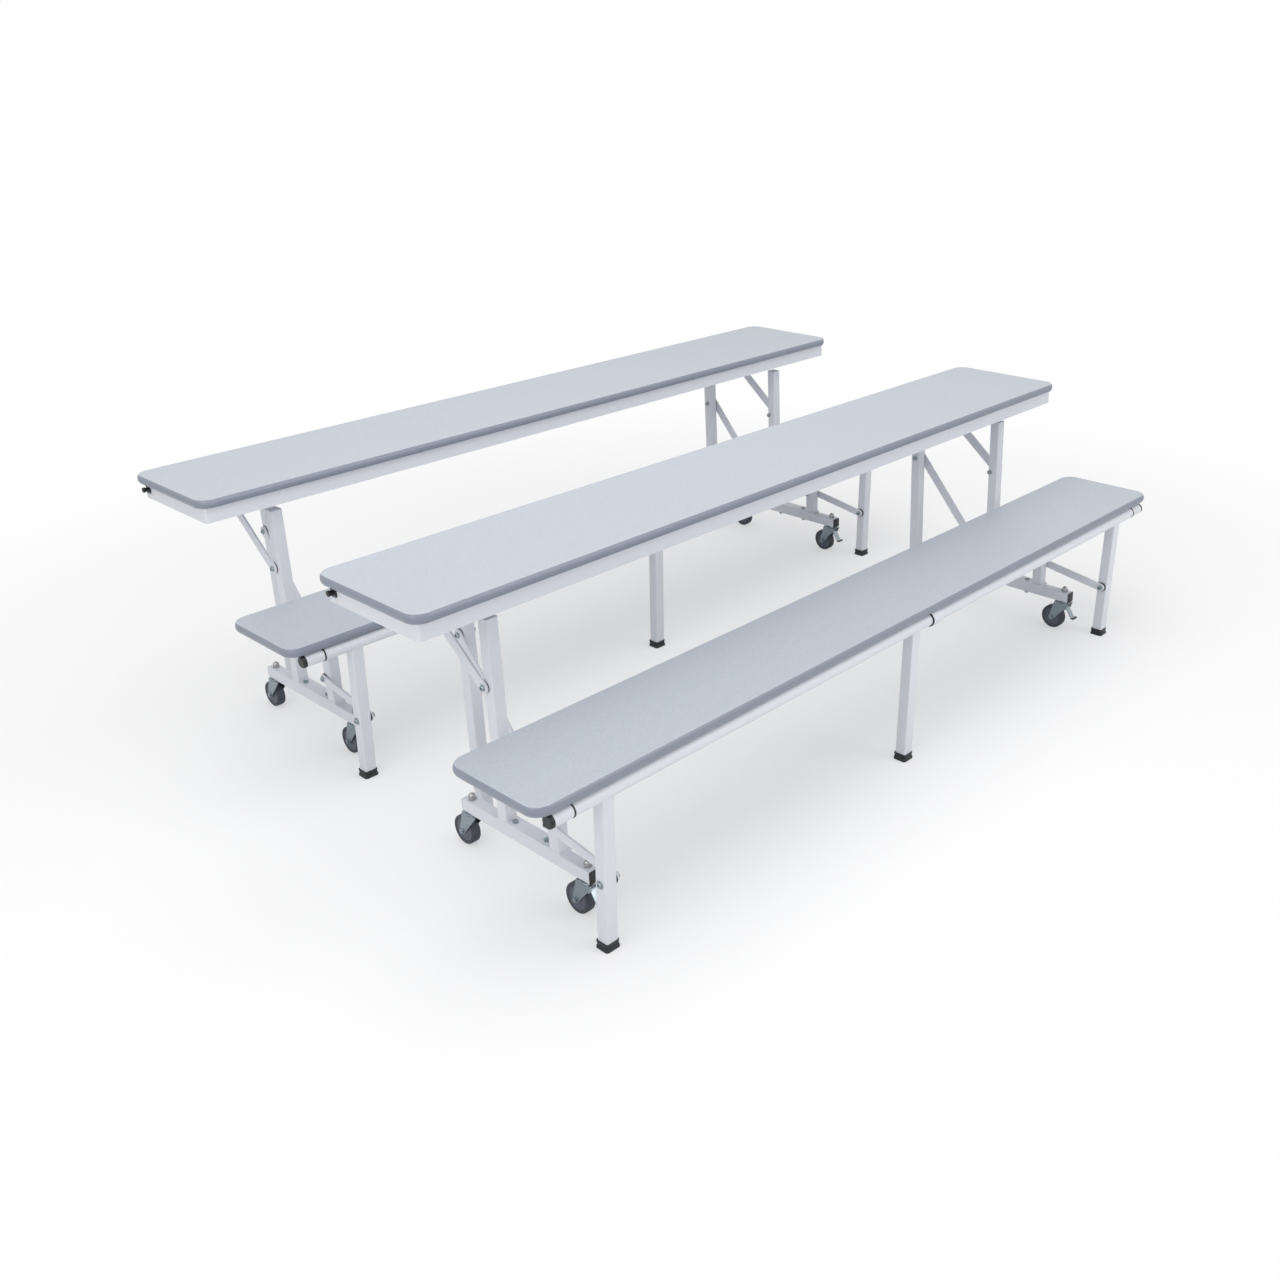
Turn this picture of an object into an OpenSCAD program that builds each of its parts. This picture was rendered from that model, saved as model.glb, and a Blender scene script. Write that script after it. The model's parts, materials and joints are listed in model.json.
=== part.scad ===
// Two convertible bench tables, each one folding top and one folding bench on a caster frame.
// X runs along the tops, Y from the bench side to the table side, Z up from the floor.
// Each unit has its own middle at X = 0 and the bench-side edge of its table top at Y = 0.

/* [Table top] */
// Overall length of the table top
table_l = 2438; // [2000:2:3000]
// Overall width of the table top
table_w = 381; // [370:1:440]
// Height of the table surface above the floor
table_h = 735; // [733:1:745]
// Thickness of the table board and of the seat board
board_t = 22; // [19:0.5:24]
// How far the edge band stands out past the laminate
band_out = 4; // [2:0.5:8]
// Radius of the board corners seen from above
corner_r = 40; // [20:1:80]
// Depth of the steel apron below the board
apron_drop = 42; // [36:1:46]
// Sheet thickness of the apron
apron_t = 1.5; // [1:0.1:3]
// Distance from the board's ends and bench-side edge in to the apron
apron_in = 16; // [8:1:20]
// Distance from the board's far edge in to the apron
apron_back_in = 30; // [20:1:31]

/* [Bench] */
// Overall length of the seat
seat_l = 2446; // [2200:2:3000]
// Overall width of the seat
seat_w = 294; // [285:1:330]
// Height of the seat surface above the floor
seat_h = 433; // [430:1:440]
// Gap seen from above between the seat and the table top
seat_gap = 56; // [48:1:64]
// Radius of the round tube that carries the bench legs
leg_shaft_r = 16; // [14:0.5:17]
// Radius of the hinge pin at the back of the seat
hinge_pin_r = 3; // [2:0.25:4]

/* [Frame] */
// Outside width of the square tubes
tube_w = 32; // [28:1:34]
// Wall of the square tubes
tube_wall = 2; // [1.5:0.1:3]
// Outer corner radius of the square tubes
tube_r = 3.5; // [3.1:0.1:6]
// Distance from the table's ends in to the uprights' outer faces
frame_in = 209; // [190:1:260]
// Distance from the table's ends in to the table legs' outer faces
leg_in = 307; // [295:1:400]
// Length of each caster beam
beam_l = 457; // [440:1:520]
// Thickness of the bracket plates under the uprights
bracket_t = 5; // [3:0.5:8]
// Width of the flat linkage bars
bar_w = 28; // [24:1:30]
// Thickness of the flat linkage bars
bar_t = 5; // [3:0.5:6]
// Radius of the pivot bolts
bolt_r = 4; // [3:0.5:5]

/* [Casters] */
// Radius of the caster wheels
wheel_r = 37.5; // [30:0.5:38]
// Width of the caster wheels
wheel_w = 24; // [18:1:30]
// Height from the floor to the underside of the beam
caster_h = 99; // [99:0.5:110]
// Distance from the swivel axis back to the axle
trail = 34; // [28:1:40]

/* [Pair] */
// Distance between the two units across their width
unit_pitch = 1015; // [950:1:1500]
// Distance by which the back unit is set along
unit_stagger = 59; // [0:1:300]

/* [Hidden] */
$fn = 48;

// Gap between faces that pass each other, radial clearance of a turning fit, overrun of the cuts
fit_gap = 0.3;
run_fit = 0.06;
over = 1;

// Levels above the floor
board_z = table_h - board_t;
apron_z = board_z - apron_drop;
seat_board_z = seat_h - board_t;
beam_top = caster_h + tube_w;
frame_z = beam_top + bracket_t;

// Planes along the table, from its middle
end_x = table_l / 2;
post_x = end_x - frame_in;
post_in_x = post_x - tube_w;
post_mid_x = post_x - tube_w / 2;
leg_x = end_x - leg_in;
leg_in_x = leg_x - tube_w;
leg_mid_x = leg_x - tube_w / 2;
inner_w = tube_w - 2 * tube_wall;

// Bracket plates on the beams, with an upright near one end and a seat post near the other
bracket_y0 = -130;
bracket_y1 = 96.5;
bracket_rim = 5;
bracket_side = 4;
bracket_bolt_r = 5;
table_bolt_in = 49.5;
bench_bolt_in = 64;
bracket_bolt_y = [bracket_y1 - table_bolt_in, bracket_y0 + bench_bolt_in];
upright_y = bracket_y1 - bracket_rim - tube_w / 2;
post_y = bracket_y0 + bracket_rim + tube_w / 2;
upright_drop = 31;
upright_top = apron_z - upright_drop;

// Bolts, nuts, washers and spacers of the pivots
head_r = 7.5;
head_l = 5.5;
thin_head_l = 1.6;
nut_l = 7;
bolt_tip_l = 2.6;
washer_r = 10;
spacer_t = 2.6;
washer_t = spacer_t - fit_gap;

// Pivots of the table linkage as [y, z]: arm on upright, top on arm, leg under top, link to leg
arm_pivot_off = 10;
arm_pivot_z = 475;
arm_pivot = [upright_y + arm_pivot_off, arm_pivot_z];
top_pivot_in = 17;
top_pivot_drop = 33;
top_pivot = [table_w - apron_back_in - top_pivot_in, board_z - top_pivot_drop];
leg_back_in = 69.5;
leg_y = table_w - leg_back_in;
leg_pivot_off = 9.5;
leg_pivot_drop = 28.5;
leg_pivot = [leg_y - leg_pivot_off, board_z - leg_pivot_drop];
leg_bolt_drop = 212.5;
leg_bolt = [leg_y, board_z - leg_bolt_drop];
leg_bolt_play = 1.6;
link_pivot_off = 3.5;
link_pivot_z = 227.3;
link_pivot = [upright_y + link_pivot_off, link_pivot_z];

// Pivots of the bench linkage as [y, z]: seat on rail, legs under seat, stay on post, stay to leg
seat_y = -seat_gap - seat_w;
seat_pivot_off = 13;
seat_pivot_drop = 7;
seat_pivot = [post_y + seat_pivot_off, seat_board_z - seat_pivot_drop];
leg_shaft_in = 15;
leg_shaft_drop = 21;
leg_shaft = [seat_y + leg_shaft_in, seat_board_z - leg_shaft_drop];
stay_pivot_off = 10;
stay_pivot_z = 203;
stay_pivot = [post_y + stay_pivot_off, stay_pivot_z];
bench_foot_off = 25;
bench_foot_y = leg_shaft[0] + bench_foot_off;
stay_bolt_off = 8;
stay_bolt_z = 168;
stay_bolt = [bench_foot_y - stay_bolt_off, stay_bolt_z];
stay_bolt_play = 2.4;

// Collars of the round tube under the seat
collar_w = 47;
collar_out = 45;
mid_collar_r = 20;
mid_collar_w = 40;
mid_collar_x = 65;
journal_r = 12.5;
ring_w = 4;
end_collar_x = seat_l / 2 - collar_out - collar_w;

// Model frame: middle of the pair's box, on the floor
pair_lo = leg_shaft[0] - mid_collar_r;
pair_hi = unit_pitch + table_w;
pair_mid_y = (pair_lo + pair_hi) / 2;

// Colours
white = "#eef0f4";
laminate = "#c9ced1";
band = "#8f94a3";
black = "#1b1c1f";
zinc = "#b9bec4";
chrome = "#d5d8dc";
rubber = "#4a4e57";

// Places a unit of the pair: 0 is the front one, 1 the back one
module unit(i)
    translate([(i - 0.5) * unit_stagger, i * unit_pitch - pair_mid_y, 0]) children();

// Both ends of a unit, drawn at the right-hand end and mirrored to the left-hand end
module both_ends() {
    children();
    mirror([1, 0, 0]) children();
}

// Both units with both of their ends
module every_end() for (i = [0, 1]) unit(i) both_ends() children();

// Cylinder along X from x, through the point p = [y, z]
module pin(x, p, r, l) translate([x, p[0], p[1]]) rotate([0, 90, 0]) cylinder(r = r, h = l);

// Hexagonal head or nut along X
module hex(x, p, r, l) translate([x, p[0], p[1]]) rotate([0, 90, 0]) cylinder(r = r, h = l, $fn = 6);

// Flat bar with round ends from point a to point b in the YZ plane, starting at x
module bar(x, a, b, w, t) {
    d = b - a;
    translate([x, a[0], a[1]]) rotate([atan2(d[1], d[0]), 0, 0]) rotate([90, 0, 90]) linear_extrude(t) {
        for (y = [0, norm(d)]) translate([y, 0]) circle(w / 2);
        translate([0, -w / 2]) square([norm(d), w]);
    }
}

// Outline with round corners, centred in x, starting at y = 0
module plan(l, w, r) {
    translate([-l / 2, r]) square([l, w - 2 * r]);
    translate([r - l / 2, 0]) square([l - 2 * r, w]);
    for (x = [r - l / 2, l / 2 - r], y = [r, w - r]) translate([x, y]) circle(r);
}

// Outlines of the square tube, with its middle at the origin: grown by d, hollow, and in section
module tube_outer(d = 0) translate([0, -tube_w / 2 - d]) plan(tube_w + 2 * d, tube_w + 2 * d, tube_r + d);
module tube_inner() translate([0, -inner_w / 2]) plan(inner_w, inner_w, tube_r - tube_wall);
module tube_section() difference() {
    tube_outer();
    tube_inner();
}

// Upright square tube with its middle at x, y
module tube_up(x, y, z, h) translate([x, y, z]) linear_extrude(h) tube_section();

// Core and laminate of a board whose edge starts at y
module board(l, w, y, z)
    translate([0, y + band_out, z])
        linear_extrude(board_t) plan(l - 2 * band_out, w - 2 * band_out, corner_r - band_out);

// Cross-section of the bull-nosed edge band, from the laminate outwards
nose_r = (pow(board_t / 2, 2) + pow(band_out, 2)) / (2 * band_out);
module nose() intersection() {
    translate([band_out - nose_r, board_t / 2]) circle(nose_r, $fn = 96);
    square([band_out, board_t]);
}

// Edge band all round a board
module edge(l, w, y, z) translate([0, y + w / 2, z]) for (s = [0, 180]) rotate([0, 0, s]) {
    translate([corner_r - l / 2, band_out - w / 2, 0])
        rotate([90, 0, 90]) linear_extrude(l - 2 * corner_r) mirror([1, 0, 0]) nose();
    translate([l / 2 - band_out, w / 2 - corner_r, 0])
        rotate([90, 0, 0]) linear_extrude(w - 2 * corner_r) nose();
    translate([l / 2 - corner_r, w / 2 - corner_r, 0])
        rotate_extrude(angle = 90) translate([corner_r - band_out, 0]) nose();
    translate([corner_r - l / 2, w / 2 - corner_r, 0])
        rotate([0, 0, 90]) rotate_extrude(angle = 90) translate([corner_r - band_out, 0]) nose();
}

// Boards and edge bands of one unit
module table_board() color(laminate) board(table_l, table_w, 0, board_z);
module table_edge() color(band) edge(table_l, table_w, 0, board_z);
module seat_board() color(laminate) board(seat_l, seat_w, seat_y, seat_board_z);
module seat_edge() color(band) edge(seat_l, seat_w, seat_y, seat_board_z);

// Table top: folded sheet apron with its top flange, leg brackets and arm bearings
apron_r = 6;
apron_l = table_l - 2 * apron_in;
apron_w = table_w - apron_in - apron_back_in;
apron_in_l = apron_l - 2 * apron_t;
apron_in_w = apron_w - 2 * apron_t;
flange_w = 15;
cheek_t = 3;
cheek_w = 30;
leg_pin_r = 5;
leg_pin_head_r = 8;
shaft_r = 8;
bearing_w = 28;
arm_x = post_x + spacer_t;

module table_apron() color(white) {
    difference() {
        translate([0, apron_in, apron_z]) linear_extrude(apron_drop) difference() {
            plan(apron_l, apron_w, apron_r);
            translate([0, apron_t]) plan(apron_in_l, apron_in_w, apron_r - apron_t);
        }
        pin(-end_x, latch_at, latch_pin_r + run_fit, apron_in + apron_t + over);
    }
    translate([0, apron_in + apron_t, board_z - apron_t]) linear_extrude(apron_t) difference() {
        plan(apron_in_l, apron_in_w, apron_r - apron_t);
        translate([0, flange_w]) plan(apron_in_l - 2 * flange_w, apron_in_w - 2 * flange_w, apron_r);
    }
    both_ends() {
        cheeks(leg_in_x - fit_gap, leg_x + fit_gap, leg_pivot, cheek_w, leg_pin_r);
        cheeks(arm_x - spacer_t, arm_x + bar_t + spacer_t, top_pivot, bearing_w, shaft_r);
    }
}

// Two cheeks outside the planes x0 and x1, bored at p, hanging from a plate under the board
module cheeks(x0, x1, p, w, bore_r) {
    plate_z = board_z - cheek_t;
    difference() {
        for (x = [x0 - cheek_t, x1]) {
            translate([x, p[0] - w / 2, p[1]]) cube([cheek_t, w, plate_z - p[1]]);
            pin(x, p, w / 2, cheek_t);
        }
        pin(x0 - cheek_t - over, p, bore_r + run_fit, x1 - x0 + 2 * cheek_t + 2 * over);
    }
    translate([x0 - cheek_t, p[0] - w / 2, plate_z]) cube([x1 - x0 + 2 * cheek_t, w, cheek_t]);
}

// Latch on the left-hand end of the apron
latch_in = 25;
latch_drop = 14;
latch_at = [table_w - apron_back_in - latch_in, board_z - latch_drop];
latch_pin_r = 3;
latch_pin_in = 12;
latch_base = [4, 20, 22];
latch_base_r = 2;
latch_knob_r = 7;
latch_knob_l = 13;
latch_neck_share = 0.72;
latch_tip_share = 0.85;
latch_rise_shares = [0.35, 0.6, 0.9];
latch_face_x = apron_in - end_x;

module latch_base() color(black) difference() {
    translate([latch_face_x - latch_base[0], latch_at[0], latch_at[1] - latch_base[2] / 2])
        rotate([90, 0, 90]) linear_extrude(latch_base[0]) plan(latch_base[1], latch_base[2], latch_base_r);
    pin(latch_face_x - latch_base[0] - over, latch_at, latch_pin_r + run_fit, latch_base[0] + 2 * over);
}

module latch_knob() color(black) {
    knob_x = latch_face_x - latch_base[0] - fit_gap;
    translate([knob_x, latch_at[0], latch_at[1]]) rotate([0, -90, 0]) rotate_extrude() polygon([
        [0, 0],
        [latch_knob_r * latch_neck_share, 0],
        [latch_knob_r * latch_neck_share, latch_knob_l * latch_rise_shares[0]],
        [latch_knob_r, latch_knob_l * latch_rise_shares[1]],
        [latch_knob_r, latch_knob_l * latch_rise_shares[2]],
        [latch_knob_r * latch_tip_share, latch_knob_l],
        [0, latch_knob_l]]);
    pin(knob_x, latch_at, latch_pin_r, latch_base[0] + fit_gap + apron_t + latch_pin_in);
}

// Arms from the uprights to the shaft along the top's far side
module table_arms() color(white) {
    both_ends() difference() {
        bar(arm_x, arm_pivot, top_pivot, bar_w, bar_t);
        pin(arm_x - over, arm_pivot, bolt_r + run_fit, bar_t + 2 * over);
    }
    shaft_end = arm_x + bar_t + spacer_t + cheek_t + spacer_t;
    pin(-shaft_end, top_pivot, shaft_r, 2 * shaft_end);
}

// Plastic foot cup at x, y: sole, waist and upper rim round a square tube
foot_h = 20;
foot_floor = 4;
sole_out = 4;
sole_h = 6;
waist_out = 2;
rim_out = 3;
rim_h = 4;

module foot(x, y) translate([x, y, 0]) {
    linear_extrude(sole_h) tube_outer(sole_out);
    linear_extrude(foot_h) tube_outer(waist_out);
    translate([0, 0, foot_h - rim_h]) linear_extrude(rim_h) tube_outer(rim_out);
}

// Table legs: square tubes with a lug and a cross pin at the top
leg_top_drop = 16;
leg_top = apron_z - leg_top_drop;
lug_t = 6;
lug_w = 21;
lug_in = 30;

module table_legs() color(white) both_ends() {
    difference() {
        tube_up(leg_mid_x, leg_y, foot_floor, leg_top - foot_floor);
        pin(leg_in_x - over, leg_bolt, bolt_r + leg_bolt_play, tube_w + 2 * over);
    }
    bar(leg_mid_x - lug_t / 2, leg_pivot, [leg_y, leg_top - lug_in], lug_w, lug_t);
    translate([leg_mid_x - inner_w / 2, leg_y - lug_t / 2, leg_top - lug_in - lug_t])
        cube([inner_w, lug_t, lug_in]);
    pin_end = tube_w / 2 + cheek_t + 2 * fit_gap;
    pin(leg_mid_x - pin_end, leg_pivot, leg_pin_r, 2 * pin_end);
    for (x = [leg_mid_x - pin_end - spacer_t, leg_mid_x + pin_end])
        pin(x, leg_pivot, leg_pin_head_r, spacer_t);
}

module table_feet() color(black) both_ends() difference() {
    foot(leg_mid_x, leg_y);
    translate([leg_mid_x, leg_y, foot_floor]) linear_extrude(foot_h) tube_outer();
}

// Links from the uprights' lugs to the table legs, with their bolts through the legs
link_x = leg_x + spacer_t;

module table_leg_links() color(white) both_ends() {
    difference() {
        bar(link_x, link_pivot, leg_bolt, bar_w, bar_t);
        pin(link_x - over, link_pivot, bolt_r + run_fit, bar_t + 2 * over);
    }
    nut_x = leg_in_x - fit_gap - nut_l;
    pin(leg_x + fit_gap, leg_bolt, washer_r, washer_t);
    pin(nut_x - bolt_tip_l, leg_bolt, bolt_r, link_x + bar_t - nut_x + bolt_tip_l);
    pin(link_x + bar_t, leg_bolt, head_r, head_l);
    hex(nut_x, leg_bolt, head_r, nut_l);
}

// Seat frame under the board: cross channels with collars, and the moving hinge leaves
hinge_x = [-post_mid_x, 0, post_mid_x];
hinge_mid_w = 20;
hinge_side_w = 15;
hinge_w = hinge_mid_w + 2 * hinge_side_w;
knuckle_r = 6.5;
leaf_t = 2.5;
leaf_l = 60;
rail_h = 25;
rail_top = seat_pivot[1] - knuckle_r - fit_gap;
channel_w = 30;
channel_h = seat_board_z - rail_top - fit_gap;
channel_back = 8;

module seat_frame() color(white) {
    difference() {
        union() {
            both_ends() {
                pin(end_collar_x, leg_shaft, leg_shaft_r, collar_w);
                channel(end_collar_x + collar_w / 2);
            }
            pin(mid_collar_x, leg_shaft, mid_collar_r, mid_collar_w);
            channel(mid_collar_x + mid_collar_w / 2);
        }
        both_ends() pin(end_collar_x - over, leg_shaft, journal_r + run_fit, collar_w + 2 * over);
        pin(mid_collar_x - over, leg_shaft, leg_shaft_r + run_fit, mid_collar_w + 2 * over);
    }
    for (x = hinge_x) seat_leaf(x);
}

// Cross channel under the seat board, open towards the board
module channel(x) {
    l = seat_pivot[0] - channel_back - leg_shaft[0];
    translate([x - channel_w / 2, leg_shaft[0], seat_board_z - channel_h]) difference() {
        cube([channel_w, l, channel_h]);
        translate([tube_wall, leg_shaft_r + tube_wall, tube_wall])
            cube([channel_w - 2 * tube_wall, l - leg_shaft_r - 2 * tube_wall, channel_h]);
    }
}

// Moving leaf of a seat hinge with its two knuckles, notched round the fixed knuckle
module seat_leaf(x) difference() {
    union() {
        translate([x - hinge_w / 2, seat_pivot[0] - leaf_l, seat_board_z - leaf_t])
            cube([hinge_w, leaf_l, leaf_t]);
        for (s = [-hinge_w / 2, hinge_mid_w / 2]) pin(x + s, seat_pivot, knuckle_r, hinge_side_w);
    }
    notch_r = knuckle_r + fit_gap;
    translate([x - hinge_mid_w / 2 - fit_gap, seat_pivot[0] - notch_r, seat_pivot[1] - knuckle_r])
        cube([hinge_mid_w + 2 * fit_gap, 2 * notch_r, 2 * knuckle_r + seat_pivot_drop]);
    pin(x - hinge_w, seat_pivot, hinge_pin_r + run_fit, 2 * hinge_w);
}

// Bench legs on their round tube, which turns in the seat's collars
bench_leg_in = 184;
bench_leg_x = seat_l / 2 - bench_leg_in;
bench_leg_in_x = bench_leg_x - tube_w / 2;
bench_leg_out_x = bench_leg_x + tube_w / 2;
mid_leg_x = 2;
leg_top_off = 5;
lean_angle = atan2(bench_foot_off - leg_top_off, leg_shaft[1]);

// Leaning shape of a bench leg at x from its height z, with the outline drawn by its child
module leg_shape(x, z)
    translate([x, bench_foot_y, 0]) rotate([lean_angle, 0, 0])
        translate([0, 0, z]) linear_extrude(leg_shaft[1]) children();

module seat_legs() color(white) {
    tube_end = end_collar_x - ring_w;
    pin(-tube_end, leg_shaft, leg_shaft_r, 2 * tube_end);
    pin(-end_collar_x - collar_w, leg_shaft, journal_r, 2 * (end_collar_x + collar_w));
    difference() {
        for (x = [-bench_leg_x, mid_leg_x, bench_leg_x]) difference() {
            leg_shape(x, foot_floor) tube_outer();
            leg_shape(x, 0) tube_inner();
            pin(x - tube_w, leg_shaft, leg_shaft_r - tube_wall, 2 * tube_w);
            translate([x - tube_w, leg_shaft[0] - tube_w, leg_shaft[1]])
                cube([2 * tube_w, 2 * tube_w, 2 * tube_w]);
        }
        for (x = [-bench_leg_x, bench_leg_x])
            pin(x - tube_w, stay_bolt, bolt_r + stay_bolt_play, 2 * tube_w);
    }
}

// Black plastic of the bench legs: feet, tube end plugs and collar rings
plug_l = 10;
ring_out = 1;

module seat_leg_caps() color(black) {
    for (x = [-bench_leg_x, mid_leg_x, bench_leg_x]) difference() {
        foot(x, bench_foot_y);
        leg_shape(x, foot_floor) tube_outer();
    }
    both_ends() {
        pin(end_collar_x + collar_w, leg_shaft, leg_shaft_r, plug_l);
        difference() {
            pin(end_collar_x - ring_w, leg_shaft, leg_shaft_r + ring_out, ring_w - fit_gap);
            pin(end_collar_x - ring_w - over, leg_shaft, journal_r, ring_w + 2 * over);
        }
    }
    difference() {
        pin(mid_collar_x - ring_w, leg_shaft, mid_collar_r - ring_out, ring_w - fit_gap);
        pin(mid_collar_x - ring_w - over, leg_shaft, leg_shaft_r, ring_w + 2 * over);
    }
}

// Stays between the seat posts and the bench's end legs, with their bolts through the legs
stay_x = post_x + spacer_t;
stay_w = 24;

module seat_leg_links() color(white) both_ends() {
    difference() {
        bar(stay_x, stay_pivot, stay_bolt, stay_w, bar_t);
        pin(stay_x - over, stay_pivot, bolt_r + run_fit, bar_t + 2 * over);
    }
    head_x = bench_leg_out_x + fit_gap;
    pin(stay_x - nut_l, stay_bolt, bolt_r, head_x - stay_x + nut_l);
    pin(stay_x + bar_t, stay_bolt, washer_r, bench_leg_in_x - fit_gap - stay_x - bar_t);
    hex(stay_x - nut_l, stay_bolt, head_r, nut_l);
    pin(head_x, stay_bolt, washer_r, thin_head_l);
    pin(head_x, stay_bolt, head_r, head_l);
}

// Caster beams with holes for the stems and the bracket bolts, and their plastic end plugs
beam_y = 3;
stem_off = 208;
stem_y = [beam_y - stem_off, beam_y + stem_off];
stem_r = 6;
plug_lip = 2;
plug_in = 8;

module caster_beams() color(white) every_end() difference() {
    translate([post_mid_x, beam_y + beam_l / 2, caster_h + tube_w / 2]) rotate([90, 0, 0])
        linear_extrude(beam_l) tube_section();
    for (y = stem_y) beam_hole(y, stem_r);
    for (y = bracket_bolt_y) beam_hole(y, bracket_bolt_r);
}

// Upright hole through a beam for a stem or bolt of radius r
module beam_hole(y, r)
    translate([post_mid_x, y, caster_h - over]) cylinder(r = r + run_fit, h = tube_w + 2 * over);

module beam_plugs() color(black) every_end()
    translate([post_mid_x, beam_y, caster_h + tube_w / 2]) for (turn = [0, 180]) rotate([90, 0, turn]) {
        translate([0, 0, beam_l / 2]) linear_extrude(plug_lip) tube_outer();
        translate([0, 0, beam_l / 2 - plug_in]) linear_extrude(plug_in) tube_inner();
    }

module bracket_plates() color(white) every_end() difference() {
    translate([post_in_x - bracket_side, bracket_y0, beam_top])
        cube([tube_w + bracket_side, bracket_y1 - bracket_y0, bracket_t]);
    for (y = bracket_bolt_y)
        translate([post_mid_x, y, beam_top - over])
            cylinder(r = bracket_bolt_r + run_fit, h = bracket_t + 2 * over);
}

module bracket_bolts() color(zinc) every_end() for (y = bracket_bolt_y) translate([post_mid_x, y, 0]) {
    translate([0, 0, caster_h - nut_l - bolt_tip_l])
        cylinder(r = bracket_bolt_r, h = frame_z - caster_h + nut_l + bolt_tip_l);
    translate([0, 0, caster_h - nut_l]) cylinder(r = head_r, h = nut_l, $fn = 6);
    translate([0, 0, frame_z]) cylinder(r = head_r, h = head_l, $fn = 6);
}

// Uprights that carry the arms, closed at the top, with the lugs for the leg links
lug_r = 11;
lug_x = link_x + bar_t + spacer_t;

module table_uprights() color(white) every_end() {
    difference() {
        tube_up(post_mid_x, upright_y, frame_z, upright_top - frame_z);
        pin(post_in_x - over, arm_pivot, bolt_r + run_fit, tube_w + 2 * over);
    }
    translate([post_mid_x, upright_y, upright_top]) linear_extrude(tube_wall) tube_outer();
    difference() {
        pin(lug_x, link_pivot, lug_r, post_in_x - lug_x);
        pin(link_x, link_pivot, bolt_r + run_fit, post_in_x - link_x);
    }
}

module seat_posts() color(white) every_end() difference() {
    tube_up(post_mid_x, post_y, frame_z, rail_top - rail_h - frame_z);
    pin(post_in_x - over, stay_pivot, bolt_r + run_fit, tube_w + 2 * over);
}

// Rails along the top of the posts, with the fixed knuckles of the seat hinges
module seat_rails() color(white) for (i = [0, 1]) unit(i) {
    translate([-post_x, post_y, rail_top - rail_h]) rotate([90, 0, 90]) linear_extrude(2 * post_x)
        difference() {
            plan(tube_w, rail_h, tube_r);
            translate([0, tube_wall]) plan(inner_w, rail_h - 2 * tube_wall, tube_r - tube_wall);
        }
    for (x = hinge_x) difference() {
        union() {
            pin(x - hinge_mid_w / 2, seat_pivot, knuckle_r, hinge_mid_w);
            translate([x - hinge_mid_w / 2, seat_pivot[0] - hinge_pin_r, rail_top])
                cube([hinge_mid_w, 2 * hinge_pin_r, knuckle_r]);
        }
        pin(x - hinge_mid_w, seat_pivot, hinge_pin_r + run_fit, 2 * hinge_mid_w);
    }
}

// Caster stems through the beams, with dome nuts on top and raceways below
race_r = 22;
race_t = 3;
crown_t = 3;
crown_z = caster_h - race_t - fit_gap - crown_t;
king_head_r = 8.5;
king_head_l = 5;
dome_nut_r = 10;
dome_nut_l = 9;
dome_r = 8.6;

module stem_nuts() color(chrome) every_end() for (y = stem_y) translate([post_mid_x, y, 0]) {
    translate([0, 0, crown_z - fit_gap]) cylinder(r = stem_r, h = beam_top + nut_l - crown_z);
    translate([0, 0, crown_z - fit_gap - king_head_l]) cylinder(r = king_head_r, h = king_head_l);
    translate([0, 0, caster_h - race_t]) cylinder(r = race_r, h = race_t);
    translate([0, 0, beam_top]) cylinder(r = dome_nut_r, h = dome_nut_l, $fn = 6);
    translate([0, 0, beam_top + dome_nut_l]) intersection() {
        sphere(r = dome_r);
        cylinder(r = dome_nut_r, h = dome_nut_l);
    }
}

// Fixed pivot bolts: arms, leg links, bench stays and the seat's hinge pins
module pivot_bolts() color(zinc) {
    every_end() {
        side_bolt(arm_pivot, arm_x + bar_t);
        side_bolt(stay_pivot, stay_x + bar_t);
        pin(link_x - fit_gap - thin_head_l, link_pivot, head_r, thin_head_l);
        pin(link_x - fit_gap, link_pivot, bolt_r, post_in_x - link_x);
        pin(link_x + bar_t + fit_gap, link_pivot, washer_r, washer_t);
    }
    for (i = [0, 1], x = hinge_x) unit(i) pin(x - hinge_w / 2, seat_pivot, hinge_pin_r, hinge_w);
}

// Bolt through a post or upright at p, with a bar outside it whose far face is at x
module side_bolt(p, x) {
    pin(post_in_x - nut_l - bolt_tip_l, p, bolt_r, x + fit_gap - post_in_x + nut_l + bolt_tip_l);
    hex(post_in_x - nut_l, p, head_r, nut_l);
    pin(post_x, p, washer_r, washer_t);
    pin(x + fit_gap, p, head_r, head_l);
}

// Caster parts, drawn at the origin under the swivel axis and placed at a stem
axle = [trail, wheel_r];
axle_r = 4;
axle_nut_r = 7;
axle_nut_l = 4;
fork_t = 2.5;
wheel_side_gap = 1.5;
fork_in = wheel_w / 2 + wheel_side_gap;
fork_out = fork_in + fork_t;
fork_eye_r = 9;
fork_drop = 4;
fork_back_share = 0.75;
fork_turn = 45;
brake_pivot = [-13, 81];
brake_pin_r = 2.5;
brake_eye_r = 6;

module caster_at(i, end, side)
    unit(i) translate([end * post_mid_x, beam_y + side * stem_off, 0]) children();

module fork(braked) color(zinc) {
    difference() {
        union() {
            translate([0, 0, crown_z]) cylinder(r = race_r, h = crown_t);
            translate([-fork_out, -race_r, crown_z])
                cube([2 * fork_out, race_r + trail * fork_back_share, crown_t]);
        }
        translate([0, 0, crown_z - over]) cylinder(r = stem_r + run_fit, h = crown_t + 2 * over);
    }
    for (x = [-fork_out, fork_in]) difference() {
        translate([x, 0, 0]) rotate([90, 0, 90]) linear_extrude(fork_t) fork_side(braked);
        if (braked) pin(x - over, brake_pivot, brake_pin_r + run_fit, fork_t + 2 * over);
    }
    axle_end = fork_out + axle_nut_l;
    pin(-axle_end, axle, axle_r, 2 * axle_end);
    for (x = [-axle_end, fork_out]) hex(x, axle, axle_nut_r, axle_nut_l);
}

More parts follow.
